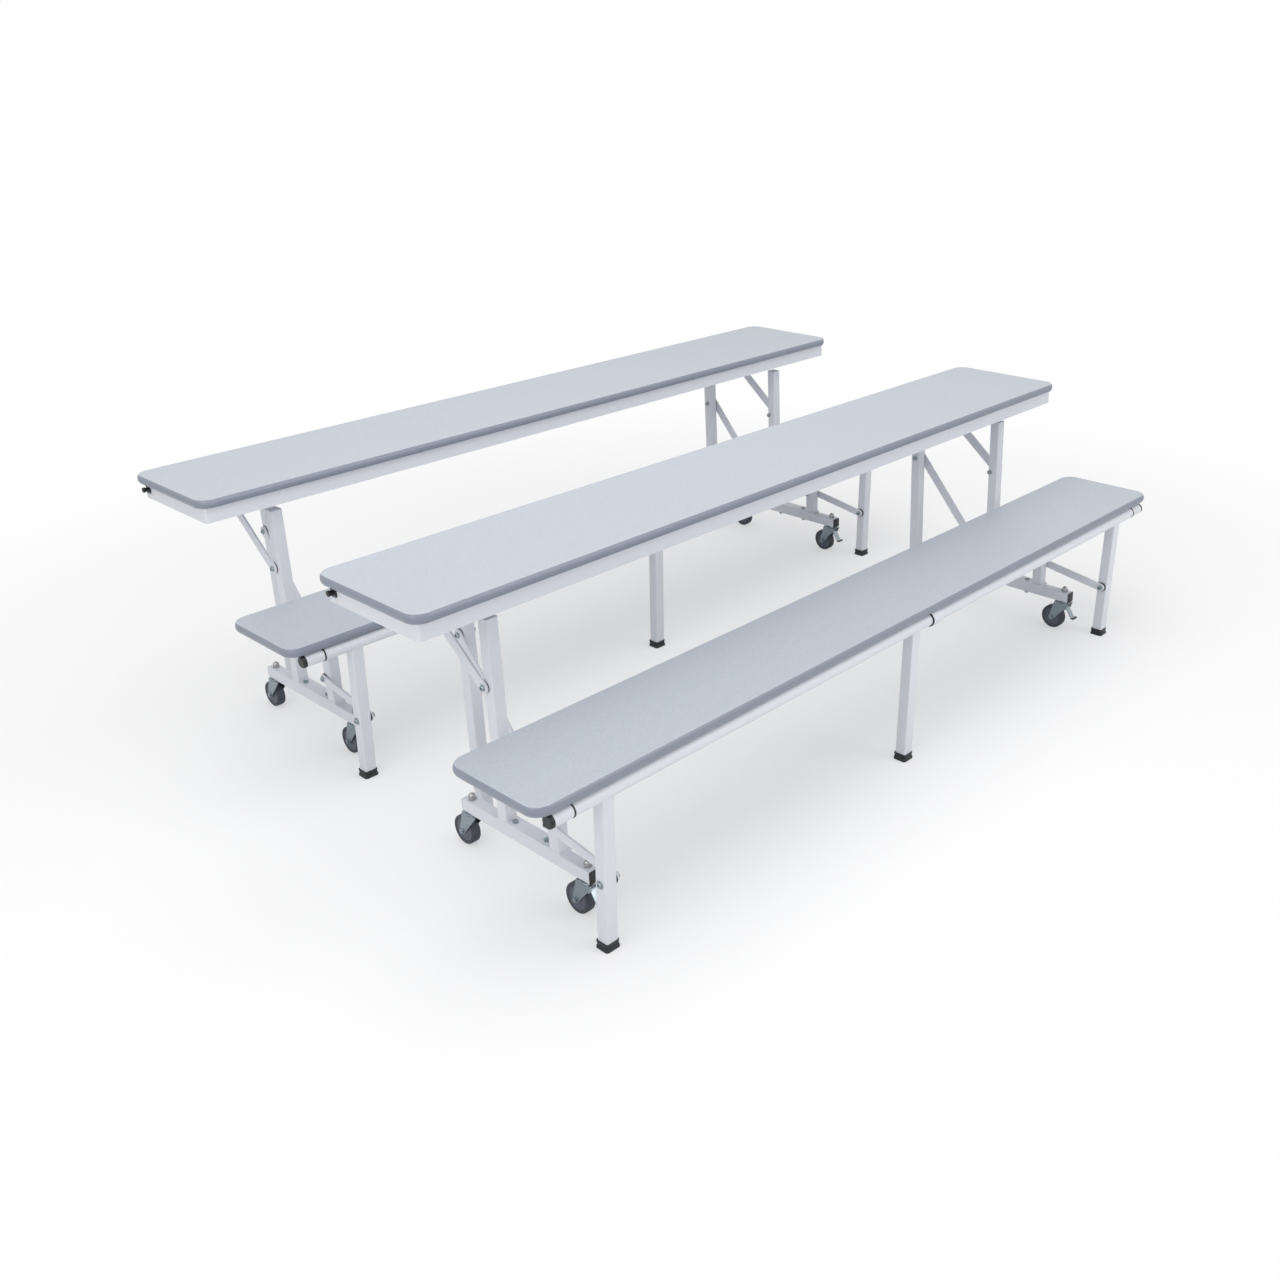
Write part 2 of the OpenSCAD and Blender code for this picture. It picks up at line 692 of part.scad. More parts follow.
// Side of the fork: wide under the crown, round about the axle
module fork_side(braked) {
    translate(axle) circle(fork_eye_r);
    if (braked) translate(brake_pivot) circle(brake_eye_r);
    polygon([
        [-race_r, crown_z + crown_t],
        [-race_r, crown_z - fork_drop],
        axle - fork_eye_r * [cos(fork_turn), sin(fork_turn)],
        axle + [fork_eye_r, 0],
        [trail * fork_back_share, crown_z + crown_t]]);
}

// Wheel: tyre with round shoulders, sunk sides and a hub
tread_round = 3;
web_in = 2;
hub_out = 1;
web_r_share = 0.72;
rim_r_share = 0.8;

module wheel() color(rubber) translate([0, axle[0], axle[1]]) rotate([0, 90, 0]) rotate_extrude($fn = 96) {
    half = [
        [axle_r + run_fit, wheel_w / 2 + hub_out],
        [fork_eye_r, wheel_w / 2 + hub_out],
        [fork_eye_r, wheel_w / 2 - web_in],
        [wheel_r * web_r_share, wheel_w / 2 - web_in],
        [wheel_r * rim_r_share, wheel_w / 2],
        [wheel_r - tread_round, wheel_w / 2],
        [wheel_r, wheel_w / 2 - tread_round]];
    last = len(half) - 1;
    polygon(concat(half, [for (i = [0:last]) [half[last - i][0], -half[last - i][1]]]));
}

// Brake pedal: pin between the fork's sides, lever and tab
pedal_end = [-33, 50];
pedal_bar_w = 6;
pedal_w = 2 * (fork_in - fit_gap);
pedal_tab = [pedal_w, 14, 3.5];
pedal_tab_out = 12;
pedal_tab_drop = 2.2;

module brake() color(black) {
    pin(-fork_out, brake_pivot, brake_pin_r, 2 * fork_out);
    bar(-pedal_w / 2, brake_pivot, pedal_end, pedal_bar_w, pedal_w);
    translate([-pedal_w / 2, pedal_end[0] - pedal_tab_out, pedal_end[1] - pedal_tab_drop]) cube(pedal_tab);
}

// The sub-parts of the front unit
module front_table_board() unit(0) table_board();
module front_table_edge() unit(0) table_edge();
module front_table_apron() unit(0) table_apron();
module front_latch_base() unit(0) latch_base();
module front_latch_knob() unit(0) latch_knob();
module front_table_arms() unit(0) table_arms();
module front_table_legs() unit(0) table_legs();
module front_table_feet() unit(0) table_feet();
module front_table_leg_links() unit(0) table_leg_links();
module front_seat_board() unit(0) seat_board();
module front_seat_edge() unit(0) seat_edge();
module front_seat_frame() unit(0) seat_frame();
module front_seat_legs() unit(0) seat_legs();
module front_seat_leg_caps() unit(0) seat_leg_caps();
module front_seat_leg_links() unit(0) seat_leg_links();

// The sub-parts of the back unit
module back_table_board() unit(1) table_board();
module back_table_edge() unit(1) table_edge();
module back_table_apron() unit(1) table_apron();
module back_latch_base() unit(1) latch_base();
module back_latch_knob() unit(1) latch_knob();
module back_table_arms() unit(1) table_arms();
module back_table_legs() unit(1) table_legs();
module back_table_feet() unit(1) table_feet();
module back_table_leg_links() unit(1) table_leg_links();
module back_seat_board() unit(1) seat_board();
module back_seat_edge() unit(1) seat_edge();
module back_seat_frame() unit(1) seat_frame();
module back_seat_legs() unit(1) seat_legs();
module back_seat_leg_caps() unit(1) seat_leg_caps();
module back_seat_leg_links() unit(1) seat_leg_links();

// The casters: unit, end and side of each
module front_left_table_fork() caster_at(0, -1, 1) fork(false);
module front_left_table_wheel() caster_at(0, -1, 1) wheel();
module front_left_bench_fork() caster_at(0, -1, -1) fork(true);
module front_left_bench_wheel() caster_at(0, -1, -1) wheel();
module front_left_bench_brake() caster_at(0, -1, -1) brake();
module front_right_table_fork() caster_at(0, 1, 1) fork(false);
module front_right_table_wheel() caster_at(0, 1, 1) wheel();
module front_right_bench_fork() caster_at(0, 1, -1) fork(true);
module front_right_bench_wheel() caster_at(0, 1, -1) wheel();
module front_right_bench_brake() caster_at(0, 1, -1) brake();
module back_left_table_fork() caster_at(1, -1, 1) fork(false);
module back_left_table_wheel() caster_at(1, -1, 1) wheel();
module back_left_bench_fork() caster_at(1, -1, -1) fork(true);
module back_left_bench_wheel() caster_at(1, -1, -1) wheel();
module back_left_bench_brake() caster_at(1, -1, -1) brake();
module back_right_table_fork() caster_at(1, 1, 1) fork(false);
module back_right_table_wheel() caster_at(1, 1, 1) wheel();
module back_right_bench_fork() caster_at(1, 1, -1) fork(true);
module back_right_bench_wheel() caster_at(1, 1, -1) wheel();
module back_right_bench_brake() caster_at(1, 1, -1) brake();

caster_beams();
beam_plugs();
bracket_plates();
bracket_bolts();
table_uprights();
seat_posts();
seat_rails();
stem_nuts();
pivot_bolts();
front_table_board();
front_table_edge();
front_table_apron();
front_latch_base();
front_latch_knob();
front_table_arms();
front_table_legs();
front_table_feet();
front_table_leg_links();
front_seat_board();
front_seat_edge();
front_seat_frame();
front_seat_legs();
front_seat_leg_caps();
front_seat_leg_links();
back_table_board();
back_table_edge();
back_table_apron();
back_latch_base();
back_latch_knob();
back_table_arms();
back_table_legs();
back_table_feet();
back_table_leg_links();
back_seat_board();
back_seat_edge();
back_seat_frame();
back_seat_legs();
back_seat_leg_caps();
back_seat_leg_links();
front_left_table_fork();
front_left_table_wheel();
front_left_bench_fork();
front_left_bench_wheel();
front_left_bench_brake();
front_right_table_fork();
front_right_table_wheel();
front_right_bench_fork();
front_right_bench_wheel();
front_right_bench_brake();
back_left_table_fork();
back_left_table_wheel();
back_left_bench_fork();
back_left_bench_wheel();
back_left_bench_brake();
back_right_table_fork();
back_right_table_wheel();
back_right_bench_fork();
back_right_bench_wheel();
back_right_bench_brake();
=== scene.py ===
"""Looks of a pair of convertible bench tables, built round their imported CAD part."""

import json
from math import atan2, cos, pi, radians, sin, sqrt

import bmesh
import bpy
from bpy.props import FloatProperty, FloatVectorProperty, PointerProperty, StringProperty
from mathutils import Matrix, Vector


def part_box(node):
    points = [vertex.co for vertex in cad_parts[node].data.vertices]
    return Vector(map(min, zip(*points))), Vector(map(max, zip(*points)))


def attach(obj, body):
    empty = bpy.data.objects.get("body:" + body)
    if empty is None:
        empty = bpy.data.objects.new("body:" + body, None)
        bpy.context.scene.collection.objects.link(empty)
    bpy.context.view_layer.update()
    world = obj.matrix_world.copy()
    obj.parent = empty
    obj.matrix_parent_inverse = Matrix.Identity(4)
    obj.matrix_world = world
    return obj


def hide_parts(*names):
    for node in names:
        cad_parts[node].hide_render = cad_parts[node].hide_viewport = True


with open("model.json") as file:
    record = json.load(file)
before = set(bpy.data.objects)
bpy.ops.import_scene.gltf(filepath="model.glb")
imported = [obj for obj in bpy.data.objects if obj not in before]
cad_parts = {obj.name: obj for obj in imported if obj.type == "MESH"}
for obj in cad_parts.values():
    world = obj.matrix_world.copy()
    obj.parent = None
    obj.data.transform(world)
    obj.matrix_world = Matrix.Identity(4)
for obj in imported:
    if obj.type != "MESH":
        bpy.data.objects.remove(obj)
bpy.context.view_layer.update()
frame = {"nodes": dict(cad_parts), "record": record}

bl_info = {
    "name": "Convertible Bench Tables",
    "version": (1, 0, 0),
    "blender": (4, 5, 0),
    "location": "View3D > Sidebar > Bench Tables",
    "description": "Builds the boards, steelwork, bolts, feet and casters of a pair of folding bench tables",
    "category": "Object",
}

MM = 0.001
UNITS = ("front", "back")
ENDS = ("left", "right")
SIDES = ("table", "bench")
CORNERS = [f"{unit}_{end}_{side}" for unit in UNITS for end in ENDS for side in SIDES]
JOINTS = {joint["name"]: joint for joint in frame["record"]["behaviour"]["joints"]}
ROUND = 48
ALONG = Vector((1, 0, 0))
ACROSS = Vector((0, 1, 0))
UP = Vector((0, 0, 1))


def box(node):
    """Lowest and highest corner of a CAD node at rest."""
    return [Vector(corner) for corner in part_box(node)]


def pivot(name):
    """Where a joint of the frame turns."""
    return Vector(JOINTS[name]["pos_m"])


def origin(unit):
    """The floor under the middle of the bench-side edge of a unit's table top."""
    return Vector((pivot(unit + "_table_fold").x, box(unit + "_table_edge")[0].y, 0))


def span(node):
    """Size of a CAD node's box."""
    low, high = box(node)
    return high - low


def in_mm(*rows):
    """Rows of millimetres as rows of metres."""
    return tuple(tuple(value * MM for value in row) for row in rows)


# Heights above the floor, and distances out from a unit's middle or on from its origin
STEP = origin("back") - origin("front")
POST_OUT = (span("seat_posts").x - STEP.x) / 2
BEAM_HALF = (span("caster_beams").y - STEP.y) / 2
BEAM_LOW, BEAM_TOP = (corner.z for corner in box("caster_beams"))
PLATE_TOP = box("bracket_plates")[1].z
PLATE_START = box("bracket_plates")[0].y - origin("front").y
PLATE_STOP = box("bracket_plates")[1].y - origin("back").y


# Settings

def length(name, millimetres, description):
    """A size setting given in millimetres."""
    return FloatProperty(name=name, description=description, default=millimetres * MM, unit="LENGTH")


def degrees(name, value, description):
    """An angle setting given in degrees."""
    return FloatProperty(name=name, description=description, default=radians(value), subtype="ANGLE")


def number(name, value, description):
    """A setting without a unit."""
    return FloatProperty(name=name, description=description, default=value)


def colour(name, code, description):
    """A colour setting as an sRGB hex value."""
    return StringProperty(name=name, description=description, default=code)


class BenchSizes(bpy.types.PropertyGroup):
    """Sizes of the tubes and bars, their bolts and their welds."""

    tube_width: length("Tube width", 32, "Outside width of the square tubes")
    tube_corner: length("Tube corner", 3.5, "Outer corner radius of the square tubes")
    round_tube: length("Round tube", 16, "Radius of the tube that carries the bench legs")
    foot_base: length("Foot base", 20, "Half width of a plastic foot on the floor")
    bench_leg_inset: length("Bench leg inset", 184, "Bench leg's middle in from the seat's end")
    bench_lean: number("Bench leg lean", 20 / 390, "Slope of the bench legs")
    bar_width: length("Link width", 28, "Width of the links of the table legs")
    stay_width: length("Stay width", 24, "Width of the bench stays")
    bar_thickness: length("Bar thickness", 5, "Thickness of the flat bars")
    bar_edge: length("Bar edge", 0.5, "How far the bars' edges are eased")
    spacing: length("Spacing", 2.6, "Room between a bar and the tube beside it")
    play: length("Play", 0.3, "Gap beside a bar that turns")
    bolt_radius: length("Pivot bolt radius", 4, "Radius of the pivot bolts")
    bracket_bolt: length("Bracket bolt radius", 5, "Radius of the bracket bolts")
    hinge_pin: length("Hinge pin radius", 3, "Radius of the seat hinge pins")
    head_radius: length("Head radius", 7.5, "Radius of the round heads")
    head_height: length("Head height", 5.5, "Height of the bolt heads")
    flat_head: length("Flat head", 1.6, "Height of the flat heads that a leg passes")
    across_flats: length("Across flats", 12.9, "Width of hexagon heads and nuts")
    nut_height: length("Nut height", 7, "Height of the nuts")
    tip: length("Bolt tip", 2.6, "How far a bolt shows past its nut")
    washer_radius: length("Washer radius", 14, "Radius of the nylon spacers beside the bars")
    screw_head: length("Screw head", 3.8, "Radius of the board screws' heads")
    weld_radius: length("Weld radius", 1.6, "Radius of the weld beads")


class BenchLooks(bpy.types.PropertyGroup):
    """Colours of the finishes as sRGB hex values, and the sizes of their patterns."""

    coat_colour: colour("Powder coat", "#dddfe6", "White of the steelwork")
    laminate_pale: colour("Laminate", "#b9c0c9", "Ground of the laminate")
    laminate_dark: colour("Laminate fleck", "#acb3bd", "Fleck of the laminate")
    band_colour: colour("Edge band", "#868d9b", "Vinyl band round the boards")
    plastic_colour: colour("Black plastic", "#1b1c20", "Feet, plugs, spacers and knobs")
    # zinc's own cool tint, darkened as painted reflection of the dim surroundings the plating mirrors
    zinc_and_reflection_colour: colour("Zinc", "#9aa5ab", "Forks, levers and bolts")
    # chrome's colour, darkened and warmed as painted reflection of the dark brown surroundings it mirrors
    chrome_and_reflection_colour: colour("Chrome", "#a8a7a6", "Dome nuts")
    tread_colour: colour("Tyre", "#3e424c", "Caster tyres")
    hub_colour: colour("Wheel centre", "#5a5f6a", "Caster wheel centres")
    floor_colour: colour("Floor", "#f4f4f5", "Studio floor")
    coat_grain: length("Coat grain", 1.6, "Grain of the powder coat")
    fleck_size: length("Fleck size", 2.4, "Fleck of the laminate")
    cloud_size: length("Cloud size", 21.6, "Soft clouds in the laminate")
    plastic_grain: length("Plastic grain", 1, "Grain of the black plastic")
    zinc_cloud: length("Zinc clouds", 9, "Clouds in the zinc plating")
    scuff: length("Scuffs", 2.5, "Scuffs on the tyres")


class BenchCamera(bpy.types.PropertyGroup):
    """The photograph's camera."""

    place: FloatVectorProperty(name="Place", description="Where the camera stands",
                               default=(-2.5512, -2.6768, 1.8073), subtype="TRANSLATION", unit="LENGTH")
    heading: degrees("Heading", 42.16, "Direction of view, from +X towards +Y")
    dip: degrees("Dip", 21.411, "How far the camera looks down")
    roll: degrees("Roll", -0.825, "Turn of the camera about its view")
    focal_share: number("Focal share", 1333.2 / 1280, "Focal length as a share of the image width")
    shift_across: number("Shift across", (640 - 778.1) / 1280, "Shift as a share of the image width")
    shift_up: number("Shift up", (554.3 - 640) / 1280, "Shift as a share of the image width")


# Colours and nodes

def linear(code):
    """An sRGB hex colour as linear red, green, blue and alpha."""
    channels = [int(code[i:i + 2], 16) / 255 for i in (1, 3, 5)]
    return [c / 12.92 if c <= 0.04045 else ((c + 0.055) / 1.055) ** 2.4 for c in channels] + [1]


def add_node(tree, kind, settings=None, links=None):
    """Adds a node with its settings and input values, and links its inputs to the sockets given."""
    made = tree.nodes.new(kind)
    for key, value in (settings or {}).items():
        if isinstance(key, int) or key in made.inputs:
            made.inputs[key].default_value = value
        else:
            setattr(made, key, value)
    for key, socket in (links or {}).items():
        tree.links.new(socket, made.inputs[key])
    return made


def new_material(name):
    """An empty node material and its tree."""
    made = bpy.data.materials.new(name)
    made.use_nodes = True
    made.node_tree.nodes.clear()
    return made, made.node_tree


def close(made, shader):
    """Ends a material with its output."""
    add_node(made.node_tree, "ShaderNodeOutputMaterial", links={"Surface": shader.outputs[0]})
    return made


def grain(tree, size, detail=2.0):
    """Noise whose grains are about size metres across, in the object's own space."""
    place = add_node(tree, "ShaderNodeTexCoord")
    return add_node(tree, "ShaderNodeTexNoise", {"Scale": 1 / size, "Detail": detail, "Roughness": 0.6},
                    {"Vector": place.outputs["Object"]})


def textured_powder_coat(look):
    """Steel under a fine-textured white powder coat: an even, slightly pebbled sheen."""
    made, tree = new_material("textured_powder_coat")
    # the real texture is about 0.4 mm, drawn at 1.6 mm so that it shows
    pebbles = grain(tree, look.coat_grain)
    bump = add_node(tree, "ShaderNodeBump", {"Strength": 0.16, "Distance": 0.1 * MM},
                    {"Height": pebbles.outputs[0]})
    shader = add_node(tree, "ShaderNodeBsdfPrincipled",
                      {"Base Color": linear(look.coat_colour), "Roughness": 0.42, "IOR": 1.5},
                      {"Normal": bump.outputs[0]})
    return close(made, shader)


def pressure_laminate(look):
    """Decorative paper under clear melamine, pressed matt: pale grey with a faint fleck."""
    made, tree = new_material("pressure_laminate")
    # the real fleck is under 1 mm, drawn at 2.4 mm so that it shows
    fleck = grain(tree, look.fleck_size, 3.0)
    soft = grain(tree, look.cloud_size)
    both = add_node(tree, "ShaderNodeMath", {"operation": "MULTIPLY_ADD", 1: 0.12},
                    {0: soft.outputs[0], 2: fleck.outputs[0]})
    ramp = add_node(tree, "ShaderNodeValToRGB", links={"Fac": both.outputs[0]})
    for stop, position, code in zip(ramp.color_ramp.elements, (0.42, 0.7),
                                    (look.laminate_dark, look.laminate_pale)):
        stop.position = position
        stop.color = linear(code)
    bump = add_node(tree, "ShaderNodeBump", {"Strength": 0.1, "Distance": 0.05 * MM},
                    {"Height": fleck.outputs[0]})
    shader = add_node(tree, "ShaderNodeBsdfPrincipled", {"Roughness": 0.38, "IOR": 1.5},
                      {"Base Color": ramp.outputs[0], "Normal": bump.outputs[0]})
    return close(made, shader)


def extruded_vinyl(look):
    """Extruded vinyl edge band: even colour, a soft satin line along the nose."""
    made, tree = new_material("extruded_vinyl")
    shader = add_node(tree, "ShaderNodeBsdfPrincipled",
                      {"Base Color": linear(look.band_colour), "Roughness": 0.34, "IOR": 1.53})
    return close(made, shader)


def moulded_polypropylene(look):
    """Injection-moulded black polypropylene with a spark-eroded skin: deep, low sheen."""
    made, tree = new_material("moulded_polypropylene")
    # the real skin is about 0.2 mm, drawn at 1 mm so that it shows
    skin = grain(tree, look.plastic_grain)
    bump = add_node(tree, "ShaderNodeBump", {"Strength": 0.12, "Distance": 0.08 * MM},
                    {"Height": skin.outputs[0]})
    shader = add_node(tree, "ShaderNodeBsdfPrincipled",
                      {"Base Color": linear(look.plastic_colour), "Roughness": 0.4, "IOR": 1.49},
                      {"Normal": bump.outputs[0]})
    return close(made, shader)


def bright_zinc(look):
    """Pressed steel with bright zinc plating: cool metal with a slightly uneven gloss. Its colour is partly
    the zinc's own cool tint and partly painted reflection, darkened for the dim surroundings the plating
    mirrors.
    """
    made, tree = new_material("bright_zinc")
    cloud = grain(tree, look.zinc_cloud)
    gloss = add_node(tree, "ShaderNodeMapRange", {"To Min": 0.2, "To Max": 0.42},
                     {"Value": cloud.outputs[0]})
    # base colour: zinc tint darkened as painted reflection
    shader = add_node(tree, "ShaderNodeBsdfPrincipled",
                      {"Base Color": linear(look.zinc_and_reflection_colour), "Metallic": 1.0},
                      {"Roughness": gloss.outputs[0]})
    return close(made, shader)


def polished_chrome(look):
    """Steel with polished chrome: a clear mirror with dark edges. Its colour is darkened and warmed as
    painted reflection of the dark brown surroundings it mirrors.
    """
    made, tree = new_material("polished_chrome")
    # base colour: chrome darkened and warmed as painted reflection
    shader = add_node(tree, "ShaderNodeBsdfPrincipled",
                      {"Base Color": linear(look.chrome_and_reflection_colour), "Metallic": 1.0, "Roughness": 0.09})
    return close(made, shader)


def moulded_tread(look):
    """Moulded thermoplastic rubber tyre: dark blue-grey, dull, lightly scuffed."""
    made, tree = new_material("moulded_tread")
    scuff = grain(tree, look.scuff, 4.0)
    dull = add_node(tree, "ShaderNodeMapRange", {"To Min": 0.45, "To Max": 0.7},
                    {"Value": scuff.outputs[0]})
    shader = add_node(tree, "ShaderNodeBsdfPrincipled",
                      {"Base Color": linear(look.tread_colour), "IOR": 1.52},
                      {"Roughness": dull.outputs[0]})
    return close(made, shader)


def moulded_hub(look):
    """Moulded grey polypropylene wheel centre: a shade paler than the tyre, with a soft sheen."""
    made, tree = new_material("moulded_hub")
    shader = add_node(tree, "ShaderNodeBsdfPrincipled",
                      {"Base Color": linear(look.hub_colour), "Roughness": 0.4, "IOR": 1.49})
    return close(made, shader)


MAKERS = {
    "coat": textured_powder_coat,
    "laminate": pressure_laminate,
    "vinyl": extruded_vinyl,
    "plastic": moulded_polypropylene,
    "zinc": bright_zinc,
    "chrome": polished_chrome,
    "tread": moulded_tread,
    "hub": moulded_hub,
}
_made = {}


def finish_of(key):
    """The material for a finish, made once."""
    if key not in _made:
        _made[key] = MAKERS[key](bpy.context.scene.bench_looks)
    return _made[key]


def dress(node, key):
    """Gives a CAD node its material."""
    materials = frame["nodes"][node].data.materials
    materials.clear()
    materials.append(finish_of(key))


# Meshes

MERGE = 0.002 * MM
SHARP = radians(32)
CHAMFER = 0.8 * MM
NUT_CHAMFER = 0.7 * MM
WASHER_EASE = 0.3 * MM
THREAD_PITCH = 1.25 * MM
THREAD_ROOT = 0.86
TIP_SHARE = 0.8
BEAD_SIDES = 8
RIPPLE = 0.1
RIPPLE_TURN = 2.4
# Heads from rim to recess, in shares of the radius and the height, and of the radius alone
BUTTON_HEAD = ((0.96, 0), (1, 0.1), (1, 0.36), (0.93, 0.62), (0.76, 0.86), (0.5, 1), (0.4, 0.94), (0.37, 0.5))
PAN_HEAD = ((1, 0), (0.96, 0.3), (0.72, 0.56), (0.4, 0.62), (0.28, 0.3))


def put(name, shape, key, body):
    """Turns a bmesh into a piece with its finish, riding on a body."""
    bmesh.ops.remove_doubles(shape, verts=shape.verts, dist=MERGE)
    bmesh.ops.recalc_face_normals(shape, faces=shape.faces)
    mesh = bpy.data.meshes.new(name)
    shape.to_mesh(mesh)
    shape.free()
    mesh.polygons.foreach_set("use_smooth", [True] * len(mesh.polygons))
    mesh.set_sharp_from_angle(angle=SHARP)
    mesh.materials.append(finish_of(key))
    piece = bpy.data.objects.new(name, mesh)
    bpy.context.scene.collection.objects.link(piece)
    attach(piece, body)
    return piece


def along(axis, at):
    """Turns a shape made up the Z axis so that it points along axis, and moves it to a point."""
    return Matrix.Translation(at) @ UP.rotation_difference(Vector(axis)).to_matrix().to_4x4()


def out_and_back(x, sign, at):
    """Two ways to place a shape on a pivot's line, so far from the middle x: outwards and inwards."""
    return (lambda reach: along((sign, 0, 0), Vector((x + sign * reach, at.y, at.z))),
            lambda reach: along((-sign, 0, 0), Vector((x + sign * reach, at.y, at.z))))


def eased(radius, reach, ease, inset=None):
    """Profile of a disc, pin or plate whose rims are eased, by default as far in as along."""
    rim = radius - (ease if inset is None else inset)
    return (rim, 0), (radius, ease), (radius, reach - ease), (rim, reach)


def circle(count):
    """Directions evenly round a circle, as pairs of x and y."""
    return [(cos(2 * pi * i / count), sin(2 * pi * i / count)) for i in range(count)]


def join(shape, low, high):
    """Skins one loop of vertices to the next."""
    for i in range(len(low)):
        j = (i + 1) % len(low)
        shape.faces.new((low[i], low[j], high[j], high[i]))


def rings(shape, loops, capped=True):
    """Skins loops of points one after another, with caps at both ends or back round to the first."""
    made = [[shape.verts.new(point) for point in loop] for loop in loops]
    for low, high in zip(made, made[1:]):
        join(shape, low, high)
    if capped:
        shape.faces.new(reversed(made[0]))
        shape.faces.new(made[-1])
    else:
        join(shape, made[-1], made[0])


def turned(shape, profile, place, bore=0.0, flutes=0, depth=0.0):
    """Revolves a profile of radius and height pairs, solid or round a bore, fluted round its rim if asked."""
    points = list(profile)
    if bore:
        points = [(bore, points[0][1])] + points + [(bore, points[-1][1])]
    loops = []
    for radius, height in points:
        loop = []
        for i in range(ROUND):
            angle = 2 * pi * i / ROUND
            reach = radius * (1 - depth * (0.5 + 0.5 * cos(flutes * angle)))
            loop.append(place @ Vector((reach * cos(angle), reach * sin(angle), height)))
        loops.append(loop)
    rings(shape, loops, capped=not bore)


def rounded_square(half, radius, height, place, steps=6):
    """One loop of a square outline with round corners."""
    loop = []
    for corner, (sx, sy) in enumerate(((1, 1), (-1, 1), (-1, -1), (1, -1))):
        for i in range(steps + 1):
            angle = pi / 2 * (corner + i / steps)
            loop.append(place @ Vector((sx * (half - radius) + radius * cos(angle),
                                        sy * (half - radius) + radius * sin(angle), height)))
    return loop


def lofted(shape, sections, place):
    """Skins square sections, each a half width, a corner radius and a height."""
    rings(shape, [rounded_square(half, radius, height, place) for half, radius, height in sections])


def six_sided(shape, across, height, place, chamfer=CHAMFER):
    """A hexagon head or nut with both rims turned off."""
    levels = eased(across / sqrt(3), height, chamfer / 2, chamfer)
    rings(shape, [[place @ Vector((radius * x, radius * y, level)) for x, y in circle(6)]
                  for radius, level in levels])


def flat_bar(shape, sizes, x, sign, start, end, width):
    """A flat bar with round ends between two pivots, from x outwards, its edges eased."""
    way = atan2(end.z - start.z, end.y - start.y)
    loops = []
    for radius, level in eased(width / 2, sizes.bar_thickness, sizes.bar_edge):
        loop = []
        for centre, first in ((end, way - pi / 2), (start, way + pi / 2)):
            for i in range(ROUND // 2 + 1):
                angle = first + pi * i / (ROUND // 2)
                loop.append(Vector((x + sign * level, centre.y + radius * cos(angle),
                                    centre.z + radius * sin(angle))))
        loops.append(loop)
    rings(shape, loops)


def bead(shape, path, radius, closed=True):
    """A weld bead: a round string along a path, swelling a little from place to place."""
    count = len(path)
    loops = []
    for i, point in enumerate(path):
        ahead = path[(i + 1) % count] - path[i - 1] if closed or 0 < i < count - 1 else path[1] - path[0]
        ahead.normalize()
        side = ahead.cross(UP)
        # where the path climbs steeply, the string is laid out from the X axis
        if side.length < 0.5:
            side = ahead.cross(ALONG)
        side.normalize()
        up = side.cross(ahead)
        swell = radius * (1 + RIPPLE * sin(i * RIPPLE_TURN))
        loops.append([point + swell * (x * side + y * up) for x, y in circle(BEAD_SIDES)])
    rings(shape, loops, capped=not closed)


def washer(shape, place, radius, height, bore):
    """A round washer or spacer with eased rims."""
    turned(shape, eased(radius, height, WASHER_EASE), place, bore)


def spacer(shape, sizes, place, room):
    """A nylon spacer round a pivot bolt, a little thinner than its room."""
    washer(shape, place, sizes.washer_radius, room - sizes.play, sizes.bolt_radius)


def button(shape, place, radius, height):
    """A low round bolt head with a recess for the key."""
    turned(shape, [(radius * across, height * up) for across, up in BUTTON_HEAD], place)


def pan_head(shape, place, radius):
    """A small pan head with a recess."""
    turned(shape, [(radius * across, radius * up) for across, up in PAN_HEAD], place)


def shank(shape, place, radius, reach, thread=0.0):
    """A bolt's shank, threaded at its far end over the length asked."""
    profile = [(radius, 0)]
    for i in range(int(thread / THREAD_PITCH)):
        low = reach - thread + i * THREAD_PITCH
        profile += [(radius, low), (radius * THREAD_ROOT, low + THREAD_PITCH / 2)]
    profile += [(radius, reach - THREAD_PITCH / 2), (radius * TIP_SHARE, reach)]
    turned(shape, profile, place)


def through_bolt(shape, sizes, head, nut, places, tip, thread):
    """A bolt from its round head in to its nut, each so far from the middle, and a tip past the nut."""
    out, back = places
    button(shape, out(head), sizes.head_radius, sizes.head_height)
    six_sided(shape, sizes.across_flats, sizes.nut_height, back(nut), NUT_CHAMFER)
    shank(shape, back(head), sizes.bolt_radius, head - nut + sizes.nut_height + tip, thread)


# Operators

class BENCH_OT_finishes(bpy.types.Operator):
    """Give every part of the steelwork and boards its finish"""

    bl_idname = "bench_table.finishes"
    bl_label = "Finish the steelwork and boards"

    def execute(self, context):
        for node in ("caster_beams", "bracket_plates", "table_uprights", "seat_posts", "seat_rails"):
            dress(node, "coat")
        for unit in UNITS:
            for part in ("table_apron", "table_arms", "table_legs", "seat_frame", "seat_legs"):
                dress(f"{unit}_{part}", "coat")
            for part in ("table_board", "seat_board"):
                dress(f"{unit}_{part}", "laminate")
            for part in ("table_edge", "seat_edge"):
                dress(f"{unit}_{part}", "vinyl")
            dress(f"{unit}_latch_base", "plastic")
        for node in frame["nodes"]:
            if node.endswith("fork"):
                dress(node, "zinc")
        return {"FINISHED"}


